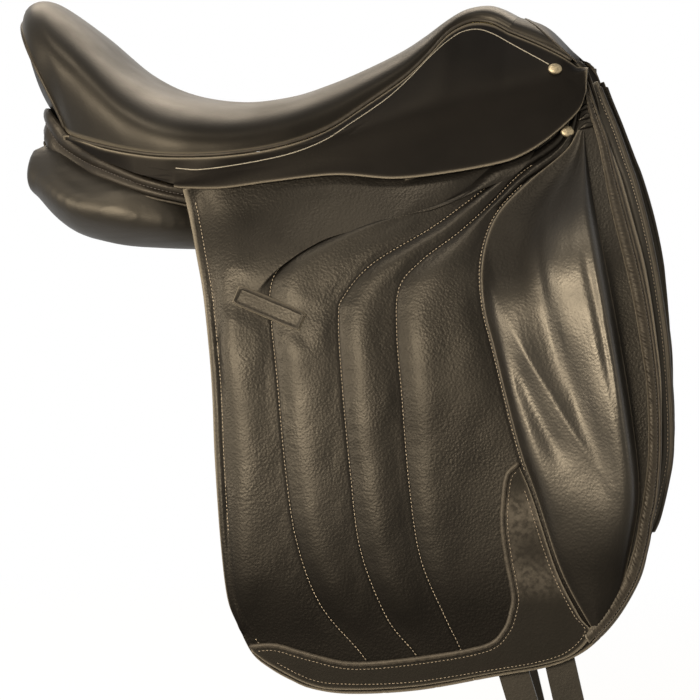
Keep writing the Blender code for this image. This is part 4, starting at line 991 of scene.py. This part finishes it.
def flap_grid(rows=260, cells=(34, 26, 22, 26, 34)):
    """Columns from the rear edge through the four grooves to the front, and how far each swells."""
    low = curve(FLAP_LOW, 400)
    lines = flap_lines(rows)
    columns, swell, groove = [], [], []
    for k, (first, second, count) in enumerate(zip(lines, lines[1:], cells)):
        even = np.linspace(0, 1, count, endpoint=False)
        spread = 0.5 - 0.5 * np.cos(np.pi * even)
        for t in 0.45 * even + 0.55 * spread:
            columns.append(first * (1 - t) + second * t)
            width = np.linalg.norm(second - first, axis=1)
            near, far = t * width, (1 - t) * width
            if k == 0:
                near = np.maximum(near - 10.0, 0)
            foot_near, foot_far = np.minimum(10.0, 0.26 * width), np.minimum(16.0, 0.36 * width)
            high = 5.0 * (1 - np.exp(-(near / foot_near) ** 1.3)) * (1 - np.exp(-(far / foot_far) ** 1.4))
            high *= 0.7 + 0.3 * np.exp(-((near - 16) / 18) ** 2)
            swell.append(high if k < 4 else high * 0)
            groove.append(np.minimum(near if k else near + 60, far if k < 4 else far * 0 + 60))
    columns.append(lines[-1])
    swell.append(np.zeros(rows))
    groove.append(np.full(rows, 60.0))
    grid, swell, groove = np.array(columns), np.array(swell), np.array(groove)
    v = np.linspace(0, 1, rows)
    run = lengths(low)
    foot = [run[np.argmin(np.linalg.norm(low - line[-1], axis=1))] for line in lines[1:-1]]
    foot = [0.0, *foot, run[-1]]
    share = []
    for a, b, count in zip(foot, foot[1:], cells):
        even = np.linspace(0, 1, count, endpoint=False)
        share += list(a + (b - a) * (0.45 * even + 0.55 * (0.5 - 0.5 * np.cos(np.pi * even))))
    share.append(foot[-1])
    target = np.stack([np.interp(share, run, low[:, k]) for k in (0, 1)], axis=1)
    grid += (target - grid[:, -1])[:, None] * (v[None, :, None] ** 3)
    head = flap_top(grid[:, 0, 0])
    grid[..., 1] += (head - grid[:, 0, 1])[:, None] * np.clip(1 - v * 6, 0, 1)[None]
    return grid, swell * quilting(grid[..., 0], grid[..., 1]), groove


# The flap's edge seam runs this far inside its rear edge
EDGE_SEAM = 7.2


def make_flaps():
    grid, swell, groove = flap_grid()
    x, z = grid[..., 0], grid[..., 1]
    uneven = 0.5 * rough(x, z, seed=11, size=50) + 0.25 * rough(x, z, seed=12, size=18)
    pucker = 0.28 * rough(x, z, seed=14, size=5.0) * np.exp(-((groove - 6) / 5.0) ** 2)
    calm = ramp(swell, 0.3, 2.0)
    out = swell + (uneven + pucker) * calm
    out -= 0.7 * np.exp(-(groove / 1.1) ** 2) * (groove < 50)
    # Painted shade: the shine is dimmed towards the low edge, at the top of the rear part and on the upper
    # front part
    painted_shade = np.maximum(ramp(-z, 180, 300), 0.5 * ramp(z, -20, 30) * (1 - ramp(x, -60, -10)))
    painted_shade = np.maximum(painted_shade, 0.4 * ramp(x, -20, 60) * ramp(-z, 20, 60))
    edge, _ = to_line(grid, curve(FLAP_REAR, 40))
    out += 0.9 * np.exp(-(((edge - 3.2) / 2.4) ** 2)) - 0.7 * np.exp(-(((edge - EDGE_SEAM) / 1.3) ** 2))
    for side_name, side in SIDES:
        shape = Shape().sheet(on_side(grid, out, side), on_side(grid, -FLAP_LEATHER, side), 0.3, painted_shade=painted_shade)
        piece("flap_leather_" + side_name, shape, FLAP_HIDE, "flap_" + side_name,
              ("flap_" + side_name,))
        seams = []
        for line in CHANNELS[:3]:
            seam = curve(line, 500)
            keep = (seam[:, 1] < 76) & (seam[:, 1] > -346)
            seams.append(on_side(seam[keep], 0.1, side))
        seam = curve(CHANNELS[3], 500)
        seam = seam[(seam[:, 1] < 60) & (seam[:, 1] > -172)]
        seams.append(on_side(seam, 0.4, side))
        rear = curve(FLAP_REAR, 300)[10:]
        edge_seam = np.concatenate([rear[:-8] + np.array([EDGE_SEAM, 0.0]), [[-62, -309], [-54, -319]]])
        seams.append(on_side(resample(edge_seam, 260), -0.1, side))
        stitch("flap_stitches_" + side_name, seams, SEAM_THREAD, "flap_" + side_name)


def make_blocks():
    rows = 230
    rear, front = curve(BLOCK_REAR, rows), curve(BLOCK_FRONT, rows)
    even = np.linspace(0, 1, 96)
    across = 0.6 * even + 0.4 * (0.5 - 0.5 * np.cos(np.pi * even))
    grid = between(rear, front, across)
    x, z = grid[..., 0], grid[..., 1]
    levels = [level for level, _ in BLOCK_SECTIONS][::-1]
    cuts = np.array([np.interp(across, *smooth_table(*np.array(cut).T)) for _, cut in BLOCK_SECTIONS][::-1])
    height = blur(np.array([np.interp(z[k], levels, cuts[:, k]) for k in range(len(across))]), 5.0, 1)
    width = np.linalg.norm(front - rear, axis=1)
    inside = ramp(np.minimum(across, 1 - across)[:, None] * width[None], 2, 14)
    for line, high, wide in BLOCK_FOLDS:
        line = curve(line, 60)
        distance, along = to_line(grid, line)
        total = lengths(line)[-1]
        fade = ramp(along, 0, 0.3 * total) * (1 - ramp(along, 0.7 * total, total))
        height += high * np.exp(-((distance / wide) ** 2)) * (0.15 + 0.85 * fade) * inside
    height += 0.5 * rough(x, z, seed=21, size=40) * inside
    # Painted shade: the shine is dimmed towards the low end, at the top and on the rear of the upper part
    painted_shade = np.maximum(ramp(-z, 165, 260), 0.5 * ramp(z, 10, 50))
    painted_shade = np.maximum(painted_shade, ramp(z, -60, -10) * (1 - ramp(across, 0.3, 0.6))[:, None])
    for side_name, side in SIDES:
        body = Shape().sheet(on_side(grid, ON_FLAP + height, side), on_side(grid, ON_FLAP, side), 0.3,
                             flat_sides=("j0",), painted_shade=painted_shade)
        block = piece("knee_block_pad_" + side_name, body, BLOCK_HIDE, "flap_" + side_name,
                      ("knee_block_" + side_name,))


def make_flap_trim():
    for side_name, side in SIDES:
        body = "flap_" + side_name
        make_patch(side_name, side, body)
        make_binding(side_name, side, body)
        make_strip(side_name, side, body)
        make_nails(side_name, side, body)
        make_pleats(side_name, side, body)


def make_patch(side_name, side, body):
    """Wear patch with a bound upper edge, rubbed brown where it runs up beside the knee block."""
    upper, lower = curve(PATCH_UPPER, 220), curve(PATCH_LOWER, 220)
    patch = between(upper, lower, np.linspace(0, 1, 26))
    x, z = patch[..., 0], patch[..., 1]
    rub = ramp(x, 120, 165) * ramp(z, -285, -250) * (1 - ramp(z, -210, -180))
    rub = np.clip(rub * (0.6 + 0.4 * rough(x, z, seed=5, size=34)) * 0.8, 0, 1)
    lift = 1.9 + 0.15 * rough(x, z, seed=8, size=20)
    outer = on_side(patch, ON_FLAP + lift, side)
    shape = Shape().sheet(outer, on_side(patch, ON_FLAP, side), 0.35, worn=rub)
    piece("wear_patch_leather_" + side_name, shape, PATCH_HIDE, body,
          ("wear_patch_" + side_name,))
    bound = on_side(upper, ON_FLAP + 2.0, side)
    piece("patch_binding_" + side_name, Shape().tube(bound, 2.3, 12, 0.75, up=(0, side, 0), worn=0.35),
          TRIM_HIDE, body)
    along = np.gradient(upper, axis=0)
    inward = np.stack([along[:, 1], -along[:, 0]], axis=1)
    inward /= np.linalg.norm(inward, axis=1, keepdims=True)
    inward *= np.sign(np.sum(inward * (lower - upper), axis=1).sum())
    back = (upper - lower)[:-3]
    back /= np.linalg.norm(back, axis=1, keepdims=True) + 1e-9
    seams = ((upper + inward * 4.2)[4:-4], (lower[:-3] + back * 5.0)[12:-10])
    stitch("patch_stitches_" + side_name, [on_side(seam, ON_FLAP + 2.1, side) for seam in seams],
           PALE_THREAD, body, thick=0.65)


def make_binding(side_name, side, body):
    """The gathered roll along the flap's front, its piping and its stitches."""
    inner, outer_line = curve(BINDING_INNER, 420), curve(BINDING_OUTER, 420)
    across = np.linspace(0, 1, 13)
    grid = between(inner, outer_line, across)
    run = lengths(inner)
    gather = 0.55 * np.abs(np.sin(run * np.pi / 3.6 + 0.8 * rough(run, 0 * run, seed=4, size=12)))
    puff = 3.4 * np.sin(np.pi * (0.08 + 0.84 * across)) ** 0.6
    lift = puff[:, None] * (0.8 + 0.5 * gather[None])
    shape = Shape().sheet(on_side(grid, ON_FLAP + lift, side), on_side(grid, ON_FLAP, side), 0.3, worn=0.25)
    piece("flap_binding_roll_" + side_name, shape, TRIM_HIDE, body,
          ("flap_binding_" + side_name,))
    pipe = on_side(outer_line + np.array([2.6, 0]), 0.6, side)
    piece("flap_piping_" + side_name, Shape().tube(pipe, 1.2, 10, worn=0.4), WELT_HIDE, body)
    seam = on_side(outer_line[6:-6] + np.array([0.6, 0]), ON_FLAP + 2.2, side)
    stitch("binding_stitches_" + side_name, [seam], DARK_THREAD, body, pitch=2.9, length=2.0)


def make_strip(side_name, side, body):
    """Plain raised keeper strip with a rounded outline and a raised border."""
    corners = np.array(STRIP_CORNERS, float)
    centre = corners.mean(axis=0)
    along = (corners[1] - corners[0]) / np.linalg.norm(corners[1] - corners[0])
    across = np.array([-along[1], along[0]])
    half_long, half_tall = 30.5, 8.0
    u = np.linspace(-1, 1, 61)
    v = np.linspace(-1, 1, 21)
    uu, vv = np.meshgrid(u, v, indexing="ij")
    squeeze = 1 - 0.16 * np.abs(uu) ** 12
    px = centre[0] + along[0] * uu * half_long + across[0] * vv * half_tall * squeeze
    pz = centre[1] + along[1] * uu * half_long + across[1] * vv * half_tall * squeeze
    grid = np.stack([px, pz], axis=-1)
    inside = np.minimum((1 - np.abs(uu)) * half_long, (1 - np.abs(vv)) * half_tall)
    lift = 4.4 + 1.2 * ramp(inside, 0, 1.0) - 1.0 * ramp(inside, 1.6, 2.8)
    lift += 0.15 * rough(px, pz, seed=9, size=10)
    shape = Shape().sheet(on_side(grid, lift, side), on_side(grid, 0.6, side), 0.3, worn=0.1)
    piece("flap_strip_plain_" + side_name, shape, FLAP_HIDE, body,
          ("flap_strip_" + side_name,))


def dome(centre, normal, wide, tall, high, lean=0.0):
    """An oval domed nail head as rings, a little dented."""
    turn = Vector(normal).to_track_quat("Z", "Y").to_matrix()
    angles = np.linspace(0, 2 * np.pi, 28, endpoint=False)
    profile = (
        (0.93, -0.5), (1.0, 0.0), (1.0, 0.25), (0.93, 0.5), (0.8, 0.72), (0.6, 0.88), (0.35, 0.97), (0.1, 1.0),
    )
    rings = []
    for r, h in profile:
        ring = []
        for a in angles:
            dent = 0.08 * math.sin(3 * a + lean) + 0.05 * math.sin(5 * a)
            place = Vector((r * wide * math.cos(a), r * tall * math.sin(a), high * (h + dent * (1 - r))))
            ring.append(tuple(Vector(centre) + turn @ place))
        rings.append(ring)
    return rings


def make_nails(side_name, side, body):
    x, z = FLAP_NAIL
    head = dome((x, side * (side_y(x, z) + 2.0), z), (0.35, side, 0.45), 6.0, 5.2, 2.8, 0.5)
    piece("flap_nail_head_" + side_name, Shape().rings(head), NICKEL, body,
          ("flap_nail_" + side_name,))
    x, y, z = SKIRT_NAIL
    head = dome((x, side * (y - 0.3), z), (0.25, side, 0.62), 6.0, 5.0, 2.8)
    piece("skirt_nail_head_" + side_name, Shape().rings(head), NICKEL, "saddle",
          ("skirt_nail_" + side_name,))


def make_pleats(side_name, side, body):
    pleats = Shape()
    for start, end in PLEATS:
        line = curve((start, ((start[0] + end[0]) / 2, (start[1] + end[1]) / 2 + 1.2), end), 24)
        fat = 2.5 * np.sin(np.linspace(0.3, 2.8, 24))
        pleats.tube(on_side(line, 0.4, side), fat, 10, 0.9, up=(0, side, 0))
    piece("flap_pleats_" + side_name, pleats, FLAP_HIDE, body)


# Sweat flaps, panels and rolls


def make_sweat_flaps():
    rows = 200
    low = curve(SWEAT_LOW, 120)
    even = np.linspace(0, 1, 120)
    rear = curve(SWEAT_REAR, rows)
    share = 0.5 * even + 0.5 * even**0.6
    low = np.stack([np.interp(share, even, low[:, k]) for k in (0, 1)], axis=1)
    v = np.linspace(0, 1, rows)
    for side_name, side in SIDES:
        front = curve(SWEAT_FRONT, rows)
        if side > 0:
            front[:, 0] -= np.interp(front[:, 1], *np.array(FAR_SWEAT_BACK).T)
        grid = between(rear, front, share)
        grid += (low - grid[:, -1])[:, None] * (v[None, :, None] ** 2.5)
        head = np.minimum(fold_z(grid[:, 0, 0]) - RECESS_DEPTH, SWEAT_HEAD)
        head += (SWEAT_FRONT[0][1] - SWEAT_HEAD) * ramp(grid[:, 0, 0], *SWEAT_TONGUE)
        grid[..., 1] += (head - grid[:, 0, 1])[:, None] * np.clip(1 - v * 3, 0, 1)[None]
        edge = np.concatenate([grid[-1], grid[::-1, -1]])
        distance, _ = to_line(grid, edge[::3])
        roll = 2.2 * np.exp(-(((distance - 6.5) / 3.2) ** 2)) - 0.5 * np.exp(-(((distance - 11.5) / 1.2) ** 2))
        outer = on_side(grid, SWEAT_OUT + roll * ramp(grid[..., 0], 150, 230), side)
        shape = Shape().sheet(outer, on_side(grid, SWEAT_OUT - SWEAT_LEATHER, side), 0.3)
        piece("sweat_flap_leather_" + side_name, shape, PANEL_HIDE, "saddle",
              ("sweat_flap_" + side_name,))
        front = resample(front, 300)
        edge = on_side(front[4:-4] + np.array([0.6, 0]), SWEAT_OUT - 1.5, side)
        crease = on_side(front[8:-10] - np.array([11.5, 0]), SWEAT_OUT + 0.1, side)
        bead = Shape().tube(edge, 1.9, 12, worn=0.2).tube(crease, 0.8, 10, worn=0.45)
        piece("sweat_piping_" + side_name, bead, WELT_HIDE, "saddle")
        seam = on_side(front[8:-8] - np.array([3.0, 0]), SWEAT_OUT + 1.6, side)
        stitch("sweat_stitches_" + side_name, [seam], SEAM_THREAD, "saddle")


PANEL_RINGS = 150
PANEL_AROUND = 72
# The panel's ends are rounded off over this length, in these shares of the last ring
PANEL_END = 6.0
END_SHARES = (0.97, 0.88, 0.72, 0.5, 0.25)


def panel_rings():
    """Cross sections of the panel from rear to front, with rounded ends, before it is stuffed."""
    xs = np.array([row[0] for row in PANEL], float)
    table = np.array([[c for pair in row[1:] for c in pair] for row in PANEL], float)
    fine_x = np.linspace(xs[0], xs[-1], 480)
    fine = blur(np.stack([np.interp(fine_x, xs, table[:, k]) for k in range(12)], axis=1), 9.0)
    rings = []
    for x in np.linspace(xs[0], xs[-1], PANEL_RINGS):
        corners = np.array([np.interp(x, fine_x, fine[:, k]) for k in range(12)]).reshape(6, 2)
        loop = curve(np.vstack([corners[-2:], corners, corners[:3]]), 1000)
        first = np.argmin(np.linalg.norm(loop[:500] - corners[0], axis=1))
        last = 500 + np.argmin(np.linalg.norm(loop[500:] - corners[0], axis=1))
        ring = resample(loop[first:last + 1], PANEL_AROUND + 1)[:-1]
        rings.append(np.column_stack([np.full(PANEL_AROUND, x), ring]))
    ends = []
    for ring, sign in ((rings[0], -1), (rings[-1], 1)):
        centre = ring.mean(axis=0)
        caps = [centre + (ring - centre) * k for k in END_SHARES]
        for cap, k in zip(caps, END_SHARES):
            cap[:, 0] = ring[:, 0] + sign * PANEL_END * math.sqrt(1 - k * k)
        ends.append(caps)
    rings = np.array([*ends[0][::-1], *rings, *ends[1]])
    away = rings - rings.mean(axis=1, keepdims=True)
    away /= np.linalg.norm(away, axis=-1, keepdims=True) + 1e-9
    bump = 0.9 * rough(rings[..., 0], rings[..., 1], rings[..., 2], seed=31, size=45)
    return rings + away * (bump[..., None] * 0.6 - 1.6)


def make_panels():
    rings = panel_rings()
    for side_name, side in SIDES:
        shape = Shape().rings(rings * np.array([1, side, 1]))
        panel = piece("panel_pad_" + side_name, shape, PANEL_HIDE, "saddle",
                      ("panel_" + side_name,), swell=3.0)
        make_band(side_name, side)
        z = np.linspace(120, -16, 90)
        edge = curve(SWEAT_FRONT, 60)
        x = np.interp(z, edge[::-1, 1], edge[::-1, 0]) - 16
        roll = np.stack([x, side * (side_y(x, z) + ROLL_OUT), z], axis=-1)
        taper = np.interp(np.linspace(0, 1, 90), (0, 0.02, 0.15, 0.8, 0.97, 1), (0.4, 0.7, 1, 1, 0.6, 0.4))
        shape = Shape().tube(roll, 7.2 * taper, 36, 1.04, up=(1.0, 0.0, 0.3))
        roll = piece("front_roll_pad_" + side_name, shape, PANEL_HIDE, "saddle",
                     ("front_roll_" + side_name,), swell=1.4)


def make_band(side_name, side):
    """Rear facing band: two rolls with a stitched seam between them, and piping below."""
    path = curve(BAND_PATH, 150) * np.array([1, side, 1])
    tangent = np.gradient(path, axis=0)
    tangent /= np.linalg.norm(tangent, axis=1, keepdims=True)
    out = np.cross(tangent, np.array([0, 0, 1.0]))
    out /= np.linalg.norm(out, axis=1, keepdims=True)
    top = np.cross(out, tangent)
    wide = np.interp(path[:, 0], *np.array(BAND_WIDE).T)
    rolls = [[p + o * (-side * a) + t * (b * w) for a, b in BAND_SECTION]
             for p, o, t, w in zip(path, out, top, wide)]
    piece("rear_facing_band_" + side_name, Shape().rings(rolls), TRIM_HIDE, "saddle",
          ("rear_facing_" + side_name,))
    seam = path + out * (-side * 1.5)
    stitch("band_stitches_" + side_name, [seam[4:-4]], DARK_THREAD, "saddle")
    edge = path + out * (-side * 1.0) - top * (7.6 * wide + 0.8)[:, None]
    piece("band_piping_" + side_name, Shape().tube(edge, 1.1, 10, worn=0.4), WELT_HIDE, "saddle")


def dress_frame():
    """Finishes for the CAD solids that stay as they are."""
    finishes = {
        "tree_frame": BEECH, "head_arch": BEECH, "gullet_plate": SPRING, "seat_webbing": WEB,
    }
    for side_name, _ in SIDES:
        for name, finish in (
            ("rail_spring_", SPRING), ("girth_web_rear_", WEB), ("girth_web_front_", WEB),
            ("stirrup_bar_", FORGED), ("bar_catch_", FORGED), ("catch_pin_", FORGED),
            ("billet_rear_", BILLET_HIDE), ("billet_front_", BILLET_HIDE),
        ):
            finishes[name + side_name] = finish
    for name, finish in finishes.items():
        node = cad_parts[name]
        node.data.materials.clear()
        node.data.materials.append(finish)


# Studio


# Soft boxes: name, azimuth from the front of the right side, elevation, distance, size, watts, colour
LAMPS = (
    ("key_softbox", -14, 8, 1.5, (0.6, 0.5), 40, (1.0, 0.94, 0.84)),
    ("side_softbox", -52, 8, 2.2, (0.6, 0.8), 42, (1.0, 0.94, 0.84)),
    ("high_softbox", -24, 60, 2.6, (0.9, 0.5), 32, (1.0, 0.95, 0.87)),
    ("back_softbox", 186, 42, 2.6, (2.2, 0.9), 38, (1.0, 0.84, 0.64)),
    ("front_softbox", 70, 8, 2.6, (0.4, 0.9), 8, (1.0, 0.95, 0.87)),
)


def towards(azimuth, elevation):
    """Unit vector from the saddle at an azimuth and elevation in degrees."""
    turn, lift = math.radians(azimuth), math.radians(elevation)
    return Vector((math.sin(turn) * math.cos(lift), -math.cos(turn) * math.cos(lift), math.sin(lift)))


def placed(name, data, where, looking):
    thing = bpy.data.objects.new(name, data)
    thing.location = where
    thing.rotation_euler = looking.to_track_quat("-Z", "Y").to_euler()
    bpy.context.scene.collection.objects.link(thing)
    return thing


def make_camera():
    data = bpy.data.cameras.new("camera")
    data.sensor_width = 36.0
    data.sensor_fit = "HORIZONTAL"
    data.lens = data.sensor_width * VIEW_DISTANCE / VIEW_WIDTH
    back = towards(VIEW_AZIMUTH, VIEW_ELEVATION)
    bpy.context.scene.camera = placed("camera", data, Vector(VIEW_TARGET) + back * VIEW_DISTANCE, -back)


def make_lamps():
    for name, azimuth, elevation, distance, size, watts, colour in LAMPS:
        lamp = bpy.data.lights.new(name, "AREA")
        lamp.shape = "RECTANGLE"
        lamp.size, lamp.size_y = size
        lamp.energy = watts
        lamp.color = colour
        where = distance * towards(azimuth, elevation)
        placed(name, lamp, where, -where)


def seen_rays(tree):
    """1 for rays that see the background itself or a reflection of it."""
    path = add(tree, "ShaderNodeLightPath").outputs
    first = add(tree, "ShaderNodeMath", {0: path["Is Camera Ray"], 1: path["Is Glossy Ray"]},
                operation="MAXIMUM")
    either = add(tree, "ShaderNodeMath", {0: first.outputs[0], 1: path["Is Transmission Ray"]},
                 operation="MAXIMUM")
    return either.outputs[0]


def make_world():
    """White where it is seen, a dim even grey as light."""
    world = bpy.data.worlds.new("studio")
    bpy.context.scene.world = world
    world.use_nodes = True
    tree = world.node_tree
    tree.nodes.clear()
    seen = seen_rays(tree)
    dim = add(tree, "ShaderNodeBackground", {"Color": srgb("#e8e6e2"), "Strength": 0.35})
    white = add(tree, "ShaderNodeBackground", {"Color": (1, 1, 1, 1), "Strength": 1.0})
    both = add(tree, "ShaderNodeMixShader", {0: seen, 1: dim.outputs[0], 2: white.outputs[0]})
    add(tree, "ShaderNodeOutputWorld", {"Surface": both.outputs[0]})


def make_floor():
    """A pale floor that keeps the saddle's shadow and runs out into the white background."""
    half, low = 6, cad_box[0][2] - 0.004
    mesh = bpy.data.meshes.new("studio_floor")
    mesh.from_pydata([(-half, -half, low), (half, -half, low), (half, half, low), (-half, half, low)], [],
                     [(0, 1, 2, 3)])
    pale, tree, shader = shader_tree("pale_floor")
    shader.inputs["Base Color"].default_value = srgb("#f2f1ee")
    shader.inputs["Roughness"].default_value = 0.9
    glow = add(tree, "ShaderNodeEmission", {"Color": (1, 1, 1, 1), "Strength": 1.0})
    where = add(tree, "ShaderNodeTexCoord").outputs["Object"]
    level = add(tree, "ShaderNodeVectorMath", {0: where, 1: (1.0, 1.0, 0.0)}, operation="MULTIPLY")
    reach = add(tree, "ShaderNodeVectorMath", {0: level.outputs[0]}, operation="LENGTH")
    fade = add(tree, "ShaderNodeMapRange", {"Value": reach.outputs["Value"], 1: 0.4, 2: 1.6, 3: 0.85, 4: 1.0})
    part = add(tree, "ShaderNodeMath", {0: seen_rays(tree), 1: fade.outputs[0]}, operation="MULTIPLY")
    mixed = add(tree, "ShaderNodeMixShader", {0: part.outputs[0], 1: shader.outputs[0], 2: glow.outputs[0]})
    tree.links.new(mixed.outputs[0], tree.nodes["Material Output"].inputs["Surface"])
    mesh.materials.append(pale)
    floor = bpy.data.objects.new("studio_floor", mesh)
    bpy.context.scene.collection.objects.link(floor)


def make_studio():
    make_camera()
    make_lamps()
    make_world()
    make_floor()
    bpy.context.scene.view_settings.view_transform = "Standard"


make_studio()
make_seat()
make_welts()
make_skirts()
make_flaps()
make_blocks()
make_flap_trim()
make_sweat_flaps()
make_panels()
dress_frame()
